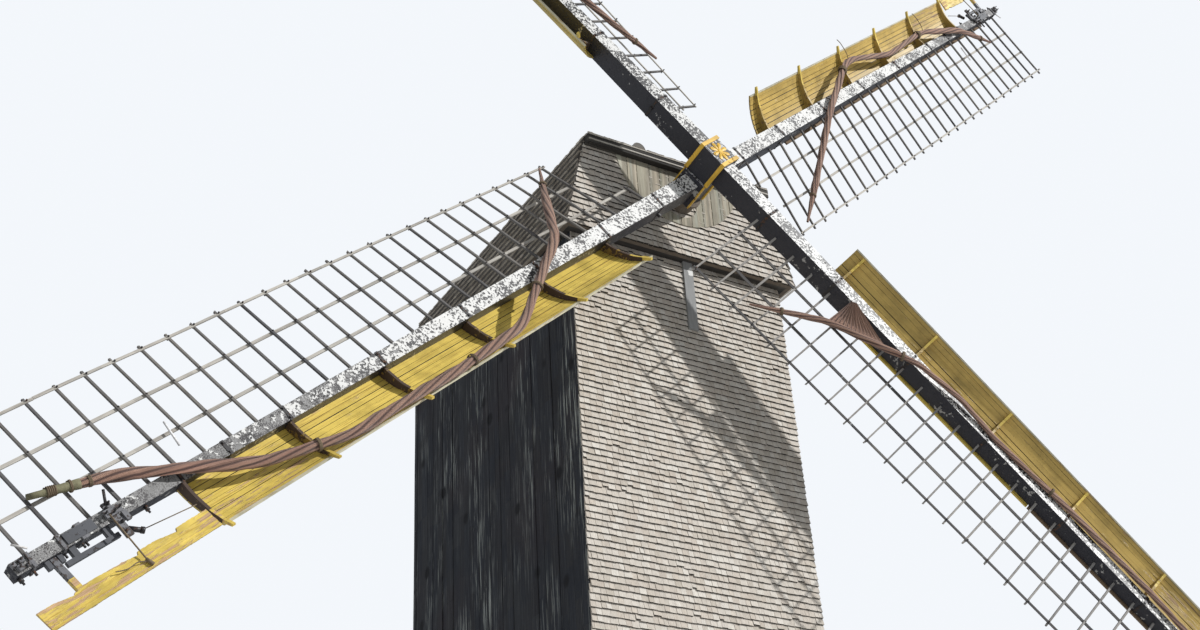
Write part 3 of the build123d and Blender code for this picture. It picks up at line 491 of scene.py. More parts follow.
# %% [markdown]
# ## Shingles
# A shingle is a thin split wedge: thick at its lower edge, thin where the next course covers it.
# Laying them course by course, with uneven widths and edges, gives real shadow lines. Their lower
# edge faces have a finish of their own: near black on the walls, which is painted shade, and pale
# on the roofs. The helper works in the plane of a wall or slope, and a function gives the width of
# the surface at each height, so gables and hips are cut to their shape.

# %% Laying shingles
GAP, OVERLAP = 0.004, 1.35              # gap between shingles, share of a course that one covers
# On the walls that finish is painted shade under each shingle; on the roofs it is pale.
SHINGLE_KINDS = [0, 0, 1, 0, 0, 0]      # the lower edge has a finish of its own


def lay_shingles(name, foot, across, upward, outward, height, span, look, seed, course=0.098, widths=(0.07, 0.13),
                 butt=0.036, uneven=1.0):
    rng = random.Random(seed)
    shingles = Shape()
    rows = max(1, round(height / course))
    for row in range(rows):
        low = row * height / rows
        top = min(low + height / rows * OVERLAP, height)
        left, end = span(min(low + height / rows * 0.5, height))
        past_left, past_right = rng.uniform(0, 0.012), rng.uniform(0, 0.012)
        u = left - rng.uniform(0, widths[0])
        while u < end:
            width = rng.uniform(*widths)
            if end - u - width < 0.05:
                width = end - u + 0.02
            drop = uneven * rng.uniform(-0.007, 0.006) + (0.024 if rng.random() < 0.025 * uneven else 0.0)
            lift = butt + uneven * rng.uniform(-0.006, 0.005)
            twist = uneven * rng.uniform(-0.004, 0.004)
            corners = []
            for edge, turn in ((u + GAP / 2, twist), (u + width - GAP / 2, -twist)):
                for v, thick in ((low + drop, lift), (top, 0.004)):
                    lo, hi = span(max(0.0, min(v, height)))
                    point = foot + across * min(max(edge, lo - past_left), hi + past_right) + upward * v
                    corners += [point - outward * 0.004, point + outward * (thick + turn)]
            if (corners[4] - corners[0]).length > 0.015:
                shingles.block(corners, SHINGLE_KINDS)
            u += width
    shingles.piece(name, look, "buck", "oak_shingle")


# %% Sizes taken from the frame
(wall_low, wall_high), (roof_low, roof_high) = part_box("left_wall"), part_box("roof_lower_left")
(hip_low, hip_high), (upper_low, upper_high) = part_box("hip_front"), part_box("roof_upper_left")
front_y, rear_y, half_width = wall_low.y, wall_high.y, -wall_low.x
wall_bottom, wall_top = wall_low.z, wall_high.z
wall_rise = wall_top - wall_bottom
gable_front, gable_rear, eave_half = roof_low.y, roof_high.y, -roof_low.x
knuckle_top, knuckle_half = roof_high.z, -hip_low.x
gable_rise, ridge_rise = knuckle_top - wall_top, upper_high.z - knuckle_top
run_in, hip_run = eave_half - knuckle_half, hip_high.y - upper_low.y
print("walls from", round(wall_bottom, 2), "to", round(wall_top, 2), "ridge at", round(upper_high.z, 2))

# %% Front wall and gable shingles
wall_look, roof_look = [shingle_light, shingle_end_shade], [shingle_dark, butt_pale]
wall_edge = half_width + 0.012
lay_shingles("front_shingles", Vector((0, front_y, wall_bottom)), X, Z, -Y, wall_rise,
             lambda v: (-wall_edge, wall_edge), wall_look, 11, uneven=0.75)


def gable_span(v):
    half = eave_half + (knuckle_half - eave_half) * v / gable_rise
    return -half, half


for name, y, out in (("front_gable_shingles", gable_front, -Y), ("rear_gable_shingles", gable_rear, Y)):
    lay_shingles(name, Vector((0, y, wall_top)), X, Z, out, gable_rise, gable_span, wall_look, 21)

# %% [markdown]
# ## Roof
# The lower slopes are steep, almost walls. Above the knuckle the roof is a low hip. Each plane is
# laid in courses from its foot, and cut along the hips.

# %% Roof shingles
def lay_slope(name, foot, across, inward, run, rise, span, seed, **more):
    """Shingles on a plane that runs inward as it rises. Its span follows the share of its length."""
    upward, outward = (inward * run + Z * rise).normalized(), (Z * run - inward * rise).normalized()
    length = math.hypot(run, rise)
    lay_shingles(name, foot, across, upward, outward, length, lambda v: span(v / length), roof_look, seed, **more)


for name, side in (("left_slope_shingles", -1), ("right_slope_shingles", 1)):
    lay_slope(name, Vector((side * eave_half, 0, wall_top)), Y, X * -side, run_in, gable_rise,
              lambda share: (gable_front - 0.02, gable_rear + 0.02), 31 + side,
              course=0.165, widths=(0.09, 0.15), butt=0.042, uneven=0.3)
for name, side in (("left_upper_shingles", -1), ("right_upper_shingles", 1)):
    lay_slope(name, Vector((side * knuckle_half, 0, knuckle_top)), Y, X * -side, knuckle_half, ridge_rise,
              lambda share: (upper_low.y + hip_run * share, upper_high.y - hip_run * share), 41 + side, butt=0.024)
for name, y, sign in (("front_hip_shingles", upper_low.y, 1), ("rear_hip_shingles", upper_high.y, -1)):
    lay_slope(name, Vector((0, y, knuckle_top)), X, Y * sign, hip_run, ridge_rise,
              lambda share: (-knuckle_half * (1 - share), knuckle_half * (1 - share)), 51 + sign, butt=0.024)

# %% [markdown]
# ## Tarred side walls
# The side and rear walls carry upright boards, tarred black, with long pale streaks where rain has
# worn the tar. Boards are cut in lengths, lap a little unevenly and stand slightly apart.

# %% Upright boards
SHORTEST = 0.6          # a board runs on to the wall's top where less than this would be left


def stand_boards(name, foot, across, outward, left, end, seed, opening=None):
    """Boards up a wall. An opening is given by its two sides and its top, and starts at the foot."""
    rng = random.Random(seed)
    boards = Shape()
    u = left
    while u < end - 0.01:
        width = min(rng.uniform(0.15, 0.23), end - u)
        proud = rng.uniform(0.012, 0.026)
        v = 0.0
        while v < wall_rise - 0.01:
            length = rng.uniform(2.2, 4.2)
            top = wall_rise if v + length > wall_rise - SHORTEST else v + length
            steps = max(2, int((top - v) / 0.5))
            bow = rng.uniform(-0.004, 0.004)
            for i in range(steps):
                a, b = v + (top - v) * i / steps, v + (top - v) * (i + 1) / steps
                if opening and u < opening[1] and u + width > opening[0]:
                    a = max(a, opening[2])
                if a < b:
                    corners = []
                    for edge, z in itertools.product((u + 0.004, u + width - 0.003), (a, b)):
                        point = foot + across * edge + Z * z
                        out = proud + bow * math.sin(math.pi * (z - v) / (top - v))
                        corners += [point, point + outward * out]
                    boards.block(corners)
            v = top + 0.003
        u += width
    boards.piece(name, tarred_board, "buck", "oak_shingle")


door_low, door_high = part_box("rear_door")
stand_boards("left_boards", Vector((-half_width, 0, wall_bottom)), Y, -X, front_y + 0.002, rear_y, 61)
stand_boards("right_boards", Vector((half_width, 0, wall_bottom)), Y, X, front_y + 0.002, rear_y, 62)
stand_boards("rear_boards", Vector((0, rear_y, wall_bottom)), X, Y, -half_width, half_width, 63,
             (door_low.x - 0.02, door_high.x + 0.02, door_high.z - wall_bottom + 0.02))

# %% [markdown]
# ## Arched boards round the windshaft
# The front gable is closed round the shaft by a half-disc of smooth boards. They are cut from the
# same arc as the CAD piece and stand upright, side by side.

# %% Arched boards
SHAFT_HOLE, APRON_STEPS = 0.32, 4       # radius of the hole for the shaft, pieces across a board


def arc(x, radius):
    """Half the height of a circle at a distance from its middle."""
    return math.sqrt(max(0.0, radius ** 2 - x * x))


apron_low, apron_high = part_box("shaft_boards")
apron_radius = (apron_high.x - apron_low.x) / 2
shaft_z = HUB.z - (gable_front - HUB.y) * math.tan(TILT)
apron = Shape()
rng = random.Random(71)
x = -apron_radius
while x < apron_radius - 0.01:
    width = min(rng.uniform(0.17, 0.25), apron_radius - x)
    proud = apron_low.y - rng.uniform(0.0, 0.008)
    for i in range(APRON_STEPS):
        a, b = x + width * i / APRON_STEPS, x + width * (i + 1) / APRON_STEPS
        edges = (a + 0.006 if i == 0 else a, b - 0.006 if i == APRON_STEPS - 1 else b)
        feet, heads = [knuckle_top - arc(e, apron_radius) for e in edges], [knuckle_top] * 2
        spans = [(feet, heads)]
        if max(abs(e) for e in edges) < SHAFT_HOLE:
            hole = [arc(e, SHAFT_HOLE) for e in edges]
            spans = [([shaft_z + h for h in hole], heads), (feet, [shaft_z - h for h in hole])]
        for lows, highs in spans:
            if min(highs[0] - lows[0], highs[1] - lows[1]) >= 0.002:
                apron.block([Vector((edges[k], y, ends[k])) for k in (0, 1) for ends in (lows, highs)
                             for y in (apron_high.y, proud)])
    x += width
apron.piece("arched_boards", apron_board, "buck", "grey_board", ["shaft_boards"])

verge_low, verge_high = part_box("verge_board")
batten = Shape()
for height, thick in ((0.30, 0.022), (0.93, 0.014)):
    z = verge_low.z + (verge_high.z - verge_low.z) * height
    batten.box((verge_low.x + 0.01, verge_low.y - 0.012, z), (verge_high.x - 0.01, verge_low.y + 0.002, z + thick))
batten.piece("verge_battens", lath_wood, "buck", "grey_board")

# %% [markdown]
# ## Brick piers
# The piers taper, so each course is a little shorter than the one below. Bricks are laid in
# stretcher bond round a mortar core, which is the CAD pier.

# %% Bricks
COURSE, BRICK, JOINT = 0.062, 0.205, 0.004      # a course, a brick with one joint, half a joint
FOOT_SIDE, HEAD_SIDE, PIER_HALF = 1.046, 0.80, 0.525


def lay_bricks(name, x, y, height):
    rng = random.Random(len(name))
    bricks = Shape()
    rows = int(height / COURSE)
    course = height / rows
    for row, face in itertools.product(range(rows), range(4)):
        low, high = row * course + JOINT, (row + 1) * course - JOINT
        half = (FOOT_SIDE + (HEAD_SIDE - FOOT_SIDE) * (row + 0.5) / rows) / 2
        place = Matrix.Translation((x, y, 0)) @ Matrix.Rotation(face * math.pi / 2, 4, "Z")
        u = -half - (0.10 if row % 2 else 0.0)
        while u < half:
            a, b = max(u, -half) + JOINT, min(u + BRICK, half) - JOINT
            if b - a > 0.03:
                bricks.box((a, -half - rng.uniform(0.002, 0.009), low), (b, 0.05 - half, high), place)
            u += BRICK
    bricks.piece(name, red_brick, "trestle", "brick")


pier_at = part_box("brick_piers")[1].x - PIER_HALF
under_lower, under_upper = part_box("crosstree_lower")[0].z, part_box("crosstree_upper")[0].z
lay_bricks("bricks_left", -pier_at, 0, under_lower)
lay_bricks("bricks_right", pier_at, 0, under_lower)
lay_bricks("bricks_front", 0, -pier_at, under_upper)
lay_bricks("bricks_rear", 0, pier_at, under_upper)

# %% [markdown]
# ## The frame of a sail
# All four sails are built once, in the same way, in a frame of their own: x runs out along the
# stock, y to the leading side and z into the wind. Each is then placed by its arm's matrix.

# %% Sail frames
RISE = WINDWARD.cross(X)
SAIL_ANGLE, STOCK_PITCH = 42.5, 0.5
SAILS = ("upper_right", "upper_left", "lower_left", "lower_right")
HALF_SPAN, PARALLEL = 12.8, 0.42
BOARD_FIRST, BOARD_LAST, BOARD_EDGE, BOARD_SAG = 2.5, 10.75, 0.74, 0.055


def arm_place(number):
    turn = math.radians(SAIL_ANGLE + 90 * number)
    along = X * math.cos(turn) + RISE * math.sin(turn)
    lead = -X * math.sin(turn) + RISE * math.cos(turn)
    origin = HUB - WINDWARD * (STOCK_PITCH if number % 2 == 0 else 0.0)
    return Matrix.Translation(origin) @ Matrix((along, lead, WINDWARD)).transposed().to_4x4()


def on_sail(shape, kind, number, material, slot, replaces=()):
    """Makes a piece of one sail. It may replace nodes of that sail."""
    sail = SAILS[number]
    return shape.piece(f"{kind}_{sail}", material, "rotor", slot, [f"{name}_{sail}" for name in replaces],
                       arm_place(number))


def spaced(first, last, count):
    """Evenly spaced places from the first to the last."""
    return [first + (last - first) * i / (count - 1) for i in range(count)]


def taper(r, at_poll, at_tip):
    return at_poll + (at_tip - at_poll) * max(0.0, r - PARALLEL) / (HALF_SPAN - PARALLEL)


def stock_half(r):
    return taper(r, 0.28, 0.15) / 2


def stock_face(r):
    return taper(r, 0.36, 0.16) / 2


def board_curve(r, share):
    """Point on the windward face of the curved boards, and the face's normal, across the sail."""
    t = (r - BOARD_FIRST) / (BOARD_LAST - BOARD_FIRST)
    inner = Vector((stock_half(r), -0.130 + 0.070 * t))
    outer = Vector((BOARD_EDGE, 0.330 - 0.140 * t))
    chord = outer - inner
    normal = Vector((-chord.y, chord.x)).normalized()
    return inner + chord * share - normal * (BOARD_SAG * 4 * share * (1 - share)), normal


print("first sail's arm points to", [round(c, 2) for c in arm_place(0).col[0][:3]])

# %% [markdown]
# ## Curved leading boards
# The leading edge is closed with long narrow boards bent over the ribs. Each board is a strip that
# follows the curve, with uneven edges. A thinner tongue runs behind the joints, and it and the
# boards' sides along each joint are near black: painted shade in the joints.

# %% Leading boards
STRIPS, STATIONS = 9, 26
# The upper and lower right sails take the darker copy, which is painted shade.
BOARD_PAINT = (shaded_yellow, yellow_paint, yellow_paint, shaded_yellow)


class Planks(Shape):
    """Bent planks, each skinned over rings of points."""

    def plank(self, rings, kinds_at=None, end_kinds=(0, 0)):
        """Skins rings of points, which come in pairs of one face and the other, across the plank."""
        wide = len(rings[0])
        first = len(self.points)
        last = first + (len(rings) - 1) * wide
        self.points += [point for ring in rings for point in ring]
        for a in range(first, last, wide):
            b = a + wide
            for j in range(0, wide - 2, 2):
                self.faces += [(a + j, b + j, b + j + 2, a + j + 2), (a + j + 1, a + j + 3, b + j + 3, b + j + 1)]
            self.faces += [(a, a + 1, b + 1, b), (b - 2, b + wide - 2, b + wide - 1, b - 1)]
            self.kinds += kinds_at((a - first) // wide) if kinds_at else [0] * wide
        for a, kind in zip((first, last), end_kinds):
            for j in range(0, wide - 2, 2):
                quad = (a + j, a + j + 2, a + j + 3, a + j + 1)
                self.faces.append(quad if a == first else quad[::-1])
                self.kinds.append(kind)


def add_strip(boards, kind, first, last, top, bottom, wave):
    """Adds a strip that follows the boards' curve between two shares of its width."""
    rings = []
    for r, uneven in zip(spaced(BOARD_FIRST, BOARD_LAST, STATIONS), wave):
        across = [board_curve(r, share) for share in spaced(first, last, 3)]
        rings.append([Vector((r, *(centre + normal * out))) for centre, normal in across
                      for out in (top + uneven, bottom)])
    # Sides along a joint take the near-black second material: painted shade in the joint.
    kinds = [kind] * 4 + [0 if first == 0 else 1, 2 if last > 0.99 else 1]
    boards.plank(rings, lambda i: kinds, (kind, kind))


def leading_boards(number):
    rng = random.Random(80 + number)
    boards, even = Planks(), [0.0] * STATIONS
    gaps = [0.0] + [rng.choice((0.0015, 0.003, 0.0055, 0.008)) for _ in range(STRIPS - 1)] + [0.0]
    for i in range(STRIPS):
        joint = i / STRIPS
        lift = rng.uniform(-0.002, 0.003)
        wave = [lift + rng.uniform(-0.002, 0.002) for _ in range(STATIONS)]
        add_strip(boards, 0, joint + gaps[i], (i + 1) / STRIPS - gaps[i + 1], 0.0, -0.024, wave)
        if i:
            # A near-black tongue behind each joint: painted shade seen through the gap.
            add_strip(boards, 1, joint - 0.02, joint + 0.02, -0.011, -0.017, even)
    add_strip(boards, 2, 0.968, 1.0, 0.009, -0.002, even)
    on_sail(boards, "leading_boards", number, [BOARD_PAINT[number], strap_iron, edge_paint], "yellow_board", ["boards"])


for number in range(4):
    leading_boards(number)

# %% [markdown]
# ## Ribs
# Thin curved fins stand on the windward face of the boards, one at each strap, and run out past
# the outer edge. Their top edges further out and their ends are yellow. Their sides are weathered
# brown or ochre, and darker than the yellow also as painted shade, deepest on the two left sails.

# %% Ribs
RIB_THICK, RIB_ROOT, RIB_NOSE, RIB_WIDTH, RIB_STEPS = 0.048, 0.170, 0.034, 0.8, 12
RIB_OVERHANG = (0.110, 0.110, 0.110, -0.055)    # the lower right sail's ribs end short of the boards' edge
RIB_STATIONS = spaced(BOARD_FIRST + 0.19, BOARD_LAST - 0.024, 6)
# Side colours by sail: painted shade on the yellow ribs, partly weathering.
RIB_SIDE_SHADES = (rib_shade_ochre, rib_shade_brown, rib_shade_brown, rib_shade_ochre)
FULL_SHARE, YELLOW_FROM = 1.14, 0.62            # share at a rib's nose, share past which its edge is yellow


def ribs(number):
    rng = random.Random(90 + number)
    fins = Shape()
    for r in RIB_STATIONS:
        start, lean = len(fins.points), rng.uniform(-0.006, 0.006)
        for share in spaced(0, 1 + RIB_OVERHANG[number] / RIB_WIDTH, RIB_STEPS + 1):
            foot, normal = board_curve(r, min(share, 1.0))
            if share > 1:
                foot += (foot - board_curve(r, 0.96)[0]).normalized() * (share - 1) * RIB_WIDTH
            height = RIB_ROOT + (RIB_NOSE - RIB_ROOT) * (share / FULL_SHARE) ** 0.8 + rng.uniform(-0.004, 0.004)
            for side, (lift, thin) in itertools.product((-1, 1), ((0.001, 1.0), (height, 0.8))):
                x = r + side * RIB_THICK / 2 * thin + lean * lift / RIB_ROOT
                fins.points.append(Vector((x, *(foot + normal * lift))))
        for i in range(RIB_STEPS):
            a, b = start + 4 * i, start + 4 * (i + 1)
            fins.faces += [(a, a + 1, b + 1, b), (a + 2, b + 2, b + 3, a + 3), (a + 1, a + 3, b + 3, b + 1),
                           (a, b, b + 2, a + 2)]
            yellow = int((i + 0.5) / RIB_STEPS * FULL_SHARE > YELLOW_FROM)
            fins.kinds += [1] * 4 if i >= RIB_STEPS - 2 else [0, 0, yellow, 0]
        fins.faces += [(start, start + 2, start + 3, start + 1), (b, b + 1, b + 3, b + 2)]
        fins.kinds += [0, 1]
    on_sail(fins, "rib_fins", number, [RIB_SIDE_SHADES[number], yellow_paint], "yellow_board", ["ribs"])


for number in range(4):
    ribs(number)

# %% [markdown]
# ## Narrow board at the tip
# Past the curved boards one narrow board runs on to the tip. Its inner edge is ragged where the
# wood has split away, and an arm from the stock holds it.

# %% Tip boards
TIP_FIRST, TIP_LAST, TIP_WIDTH, TIP_RISE = BOARD_LAST + 0.05, 12.9, 0.25, 0.19
TIP_TILT, TIP_HALF, ARM_AT = math.tan(math.radians(12)), 0.014, 12.38


def tip_rise(r):
    return TIP_RISE * (1 - 0.45 * (r - TIP_FIRST) / (TIP_LAST - TIP_FIRST))


def tip_board(number):
    rng = random.Random(95 + number)
    board, arm, rings = Planks(), Shape(), []
    splits = [(rng.uniform(0.02, 0.95), rng.uniform(0.015, 0.055), rng.uniform(0.05, 0.16)) for _ in range(6)]
    for t in spaced(0, 1, 90):
        r = TIP_FIRST + (TIP_LAST - TIP_FIRST) * t
        torn = [depth * (1 - (t - at) / long) for at, depth, long in splits if at < t < at + long]
        ragged = rng.uniform(0, 0.006) + max(torn, default=0.0)
        ring = []
        for share, deep in ((1 - ragged / TIP_WIDTH, 0), (0.62, 0), (0.58, 0.007), (0.30, 0), (0.27, 0.007),
                            (rng.uniform(0.0, 0.003) / TIP_WIDTH, 0)):
            back = TIP_WIDTH * share
            z = tip_rise(r) + (TIP_WIDTH / 2 - back) * TIP_TILT
            ring += [Vector((r, BOARD_EDGE - back, z + TIP_HALF - deep)), Vector((r, BOARD_EDGE - back, z - TIP_HALF))]
        rings.append(ring)
    board.plank(rings)
    on_sail(board, "tip_board", number, yellow_paint, "yellow_board")
    for kind, ends in enumerate(((stock_half(ARM_AT) + 0.002, 0.36), (0.36, BOARD_EDGE - 0.02))):
        corners = []
        for x, y in itertools.product((ARM_AT - 0.034, ARM_AT + 0.034), ends):
            middle = (tip_rise(ARM_AT) - 0.045) * (y - 0.08) / (BOARD_EDGE - 0.08)
            corners += [Vector((x, y, middle - 0.028)), Vector((x, y, middle + 0.028))]
        arm.block(corners, [kind] * 6)
    on_sail(arm, "tip_arm", number, [grey_iron, yellow_paint], "yellow_board")


for number in range(4):
    tip_board(number)

# %% [markdown]
# ## Lattice
# Bars stand out from the trailing side of the stock and slant less and less towards the tip. Two
# long laths are nailed across their backs and a thinner one across their outer ends in front, each
# made of lengths that butt end to end.

# %% Lattice
BAR_FIRST, BAR_LAST, BAR_COUNT, BAR_REACH = 1.95, 12.56, 28, 1.69
HEM_AT, LATH_BAYS = 1.61, 3
BAR_HALF, BAR_THICK = 0.0185, 0.015        # half of a bar's width and of its thickness
LATH_HALF, LATH_THICK = 0.021, 0.009
# More bars stand between the first one and the poll: place and length of each. On the rear stock
# they are short, to pass clear of the roof as the sails turn.
FULL_BARS = ((1.557, 1.69), (1.164, 1.69))
INNER_BARS = (((1.557, 0.62),), FULL_BARS, ((1.557, 0.62), (1.164, 0.62)), FULL_BARS)


def leaning(r):
    """The frame of a bar, which slants out of the sail's plane by its weather."""
    weather = math.radians(17.0 - 12.0 * (r - BAR_FIRST) / (BAR_LAST - BAR_FIRST))
    return Matrix.Translation((r, 0, 0)) @ Matrix.Rotation(weather, 4, "X")


def lattice(number):
    rng = random.Random(110 + number)
    bars, laths, bolts = Shape(), Shape(), Shape()
    placed = [(r, BAR_REACH) for r in spaced(BAR_FIRST, BAR_LAST, BAR_COUNT)] + list(INNER_BARS[number])
    for r, length in placed:
        tip = -length + rng.uniform(0.0, 0.03)
        half = BAR_HALF + rng.uniform(-0.003, 0.0)
        skew, cut = rng.uniform(-0.012, 0.012), rng.uniform(-0.008, 0.008)
        bars.block([leaning(r) @ Vector((side * half * slim + along, y, z)) for side in (-1, 1)
                    for y, along, slim in ((tip + side * cut, skew, 0.75), (-stock_half(r) * 0.96, 0.0, 1.0))
                    for z in (-BAR_THICK, BAR_THICK)])
    # The lower right sail takes the pale bars, which are painted sunlight; the others take dark bars, partly painted
    # shade.
    on_sail(bars, "lattice_bars", number, sunlit_bars if number == 3 else bars_weathered_and_shaded, "weathered_wood", ["lattice"])

    lee, last = BAR_THICK + LATH_THICK - 0.002, BAR_LAST + 0.09
    for bay in range(1, LATH_BAYS + 1):
        reach, outer = HEM_AT * bay / LATH_BAYS, bay == LATH_BAYS
        side, wide = (1, LATH_HALF * 0.8) if outer else (-1, LATH_HALF)
        bolt_low, bolt_high = sorted((side * (lee + (0.034 if outer else 0.016)), -side * 0.024))
        crossed = [at for at, length in placed if length > reach]
        r = min(crossed) - 0.05
        while r < last - 0.01:
            end = min(r + rng.uniform(2.6, 3.6), last)
            if last - end < 0.8:
                end = last
            wave = rng.uniform(-0.006, 0.006)
            stops = spaced(r, end, max(2, int((end - r) / 0.4)) + 1)
            stops[-1] -= 0.004
            for pair in zip(stops, stops[1:]):
                corners = []
                for x in pair:
                    away = reach + wave * math.sin((x - r) * 2.0)
                    corners += [leaning(x) @ Vector((0, y, z)) for y in (-away - wide, -away + wide)
                                for z in (side * lee - LATH_THICK, side * lee + LATH_THICK)]
                laths.block(corners)
            r = end
        for r in crossed:
            x, y = rng.uniform(-0.006, 0.006), -reach + rng.uniform(-0.008, 0.008)
            bolts.box((x - 0.008, y - 0.008, bolt_low), (x + 0.008, y + 0.008, bolt_high), leaning(r))
    # The lower right sail's laths take the shaded copy: painted shade.
    on_sail(laths, "lattice_laths", number, shaded_laths if number == 3 else lath_wood, "weathered_wood")
    on_sail(bolts, "lattice_bolts", number, strap_iron, "black_iron")


for number in range(4):
    lattice(number)

# %% [markdown]
# ## Straps and backing boards
# Flat iron straps hold the ribs to the stock. Behind the stock the boards end on a narrow backing
# board, yellow near the poll on three sails and bare further out.

# %% Straps and backing
STRAP_HALF, STRAP_THICK, MORE_STRAPS = 0.0225, 0.006, [1.25, 10.04]


def strap(straps, r, rng):
    """Four flat plates round the stock, with two bolt heads in front and a bolt at its side."""
    half, face = stock_half(r) + 0.001, stock_face(r) + 0.001
    wide, high = half + STRAP_THICK, face + STRAP_THICK
    for y0, y1, z0, z1 in ((-wide, wide, face, high), (-wide, wide, -high, -face), (-wide, -half, -face, face),
                           (half, wide, -face, face)):
        straps.box((r - STRAP_HALF, y0, z0), (r + STRAP_HALF, y1, z1))
    for y in (-half * 0.7, half * 0.7):
        straps.box((r - 0.014, y - 0.014, high), (r + 0.014, y + 0.014, high + 0.014))
    straps.box((r - 0.02, wide, -0.03), (r + 0.02, wide + rng.uniform(0.02, 0.05), 0.02))


def backing(kind, number, material, slot, first, last):
    board = Shape()
    stops = spaced(first, last, 13)
    for pair in zip(stops, stops[1:]):
        board.block([Vector((x, y, z)) for x in pair for y in (-stock_half(x) - 0.045, stock_half(x) * 0.4)
                     for z in (-stock_face(x) - 0.038, -stock_face(x) - 0.008)])
    on_sail(board, kind, number, material, slot)


for number in range(4):
    rng = random.Random(130 + number)
    straps = Shape()
    for r in RIB_STATIONS + MORE_STRAPS:
        strap(straps, r, rng)
    on_sail(straps, "stock_straps", number, strap_iron, "black_iron")
    backing("inner_backing", number, yellow_paint if number else back_wood, "yellow_board", 3.1, 7.0)
    backing("outer_backing", number, back_wood, "weathered_wood", 7.02, 12.1)

# %% [markdown]
# ## Rosette on the poll end
# A plain rosette of eight petals is cast on the front face of the poll end, with a round boss in
# its middle. It is painted yellow like the rims.

# %% Rosette
PETAL = [(0.035, 0.010), (0.075, 0.024), (0.125, 0.034), (0.160, 0.028), (0.176, 0.012)]
rosette, front = Shape(), STOCK_PITCH / 2
outline = PETAL + [(x, -y) for x, y in reversed(PETAL)]
count = len(outline)
for petal in range(8):
    turn, start = Matrix.Rotation(petal * math.pi / 4, 4, "Z"), len(rosette.points)
    rosette.points += [turn @ Vector((x, y, z)) for z in (front, front + 0.010) for x, y in outline]
    rosette.points.append(turn @ Vector((0.115, 0.0, front + 0.020)))
    for i in range(count):
        a, b = start + i, start + (i + 1) % count
        rosette.faces += [(a, b, b + count, a + count), (a + count, b + count, start + 2 * count)]
start = len(rosette.points)
for radius, z in ((0.045, front), (0.045, front + 0.014), (0.026, front + 0.022)):
    rosette.points += [Vector((radius * math.cos(a), radius * math.sin(a), z))
                       for a in (i * math.pi / 8 for i in range(16))]
for ring, i in itertools.product((start, start + 16), range(16)):
    a, b = ring + i, ring + (i + 1) % 16
    rosette.faces.append((a, b, b + 16, a + 16))
rosette.faces.append(tuple(range(start + 32, start + 48)))
rosette.piece("poll_rosette", rim_paint, "rotor", "yellow_painted_iron", place=arm_place(1))

# %% [markdown]
# ## Furled canvas
# Each cloth is rolled up like a rope and bent round the sail. The roll is one open strip, wound
# in a spiral, with strands that twist as it runs along its route. The route's corners are
# rounded, and the roll is thin at both ends, where it is tied.

# %% Routes of the cloths
CLOTH_LIFT, BEND, STEP = 0.083, 1.3, 0.05       # roll's middle above what it lies on, bend radius, spacing


def on_bars(r, reach, over=0.0):
    return leaning(r) @ Vector((0, -reach, 0.018 + CLOTH_LIFT + over))


def over_stock(r, share):
    return Vector((r, share * stock_half(r), stock_face(r) + CLOTH_LIFT))


def on_ribs(r, share, over=0.0):
    foot, normal = board_curve(r, share)
    return Vector((r, *(foot + normal * (RIB_ROOT + (RIB_NOSE - RIB_ROOT) * share + CLOTH_LIFT + over))))


BROAD_SWEEP = [on_bars(2.15, 1.545), on_bars(2.95, 0.84, 0.07), over_stock(3.7, -1.9), on_ribs(5.5, 0.9),
               on_ribs(6.9, 1.0), on_ribs(8.8, 0.95), on_ribs(9.9, 0.5), over_stock(10.75, -0.5),
               on_bars(11.35, 0.34, 0.04), on_bars(12.05, 0.55)]
LOOPED = [on_bars(2.1, 1.5), on_bars(3.0, 0.93, 0.03), over_stock(4.3, -1.2), on_ribs(5.89, 0.75, 0.015),
          on_ribs(7.5, 0.35, 0.015), on_ribs(9.13, 0.45, 0.015), over_stock(10.5, -0.2), on_bars(11.45, 0.56, 0.02)]
ALONG_STOCK = [on_bars(2.1, 1.44), on_bars(3.05, 0.64, 0.03), over_stock(4.4, -1.1), over_stock(5.2, 0.3),
               on_ribs(6.0, 0.1, 0.04), on_ribs(7.5, 0.2, 0.02), on_ribs(9.1, 0.2, 0.02), over_stock(10.6, 0.2),
               on_bars(11.4, 0.35, 0.03), on_bars(12.0, 0.56)]
ROUTES = (LOOPED, BROAD_SWEEP, BROAD_SWEEP, ALONG_STOCK)


def rounded(route):
    """Evenly spaced points along a route whose corners are rounded, and its length."""
    line = [route[0]]
    for before, corner, after in zip(route, route[1:], route[2:]):
        a, b = before - corner, after - corner
        cut = min(BEND * math.tan((math.pi - a.angle(b)) / 2), a.length * 0.45, b.length * 0.45)
        start, end = corner + a.normalized() * cut, corner + b.normalized() * cut
        line += [start * (1 - t) ** 2 + corner * 2 * t * (1 - t) + end * t * t for t in (0, 0.25, 0.5, 0.75, 1.0)]
    line.append(route[-1])
    lengths = np.cumsum([0.0] + [(b - a).length for a, b in zip(line, line[1:])])
    length = float(lengths[-1])
    places = np.linspace(0, length, int(length / STEP))
    return [Vector([float(np.interp(d, lengths, [p[axis] for p in line])) for axis in range(3)])
            for d in places], length


# %% Rolled canvas
CLOTH_RADIUS, TURNS, AROUND = (0.070, 0.074, 0.074, 0.060), (5.6, 5.3, 5.3, 6.4), 92


def axes_at(line, i, upright=Z):
    """Directions at a point of a line: along it, to its side and over it."""
    ahead = (line[min(i + 1, len(line) - 1)] - line[max(i - 1, 0)]).normalized()
    side = ahead.cross(upright).normalized()
    return ahead, side, side.cross(ahead)


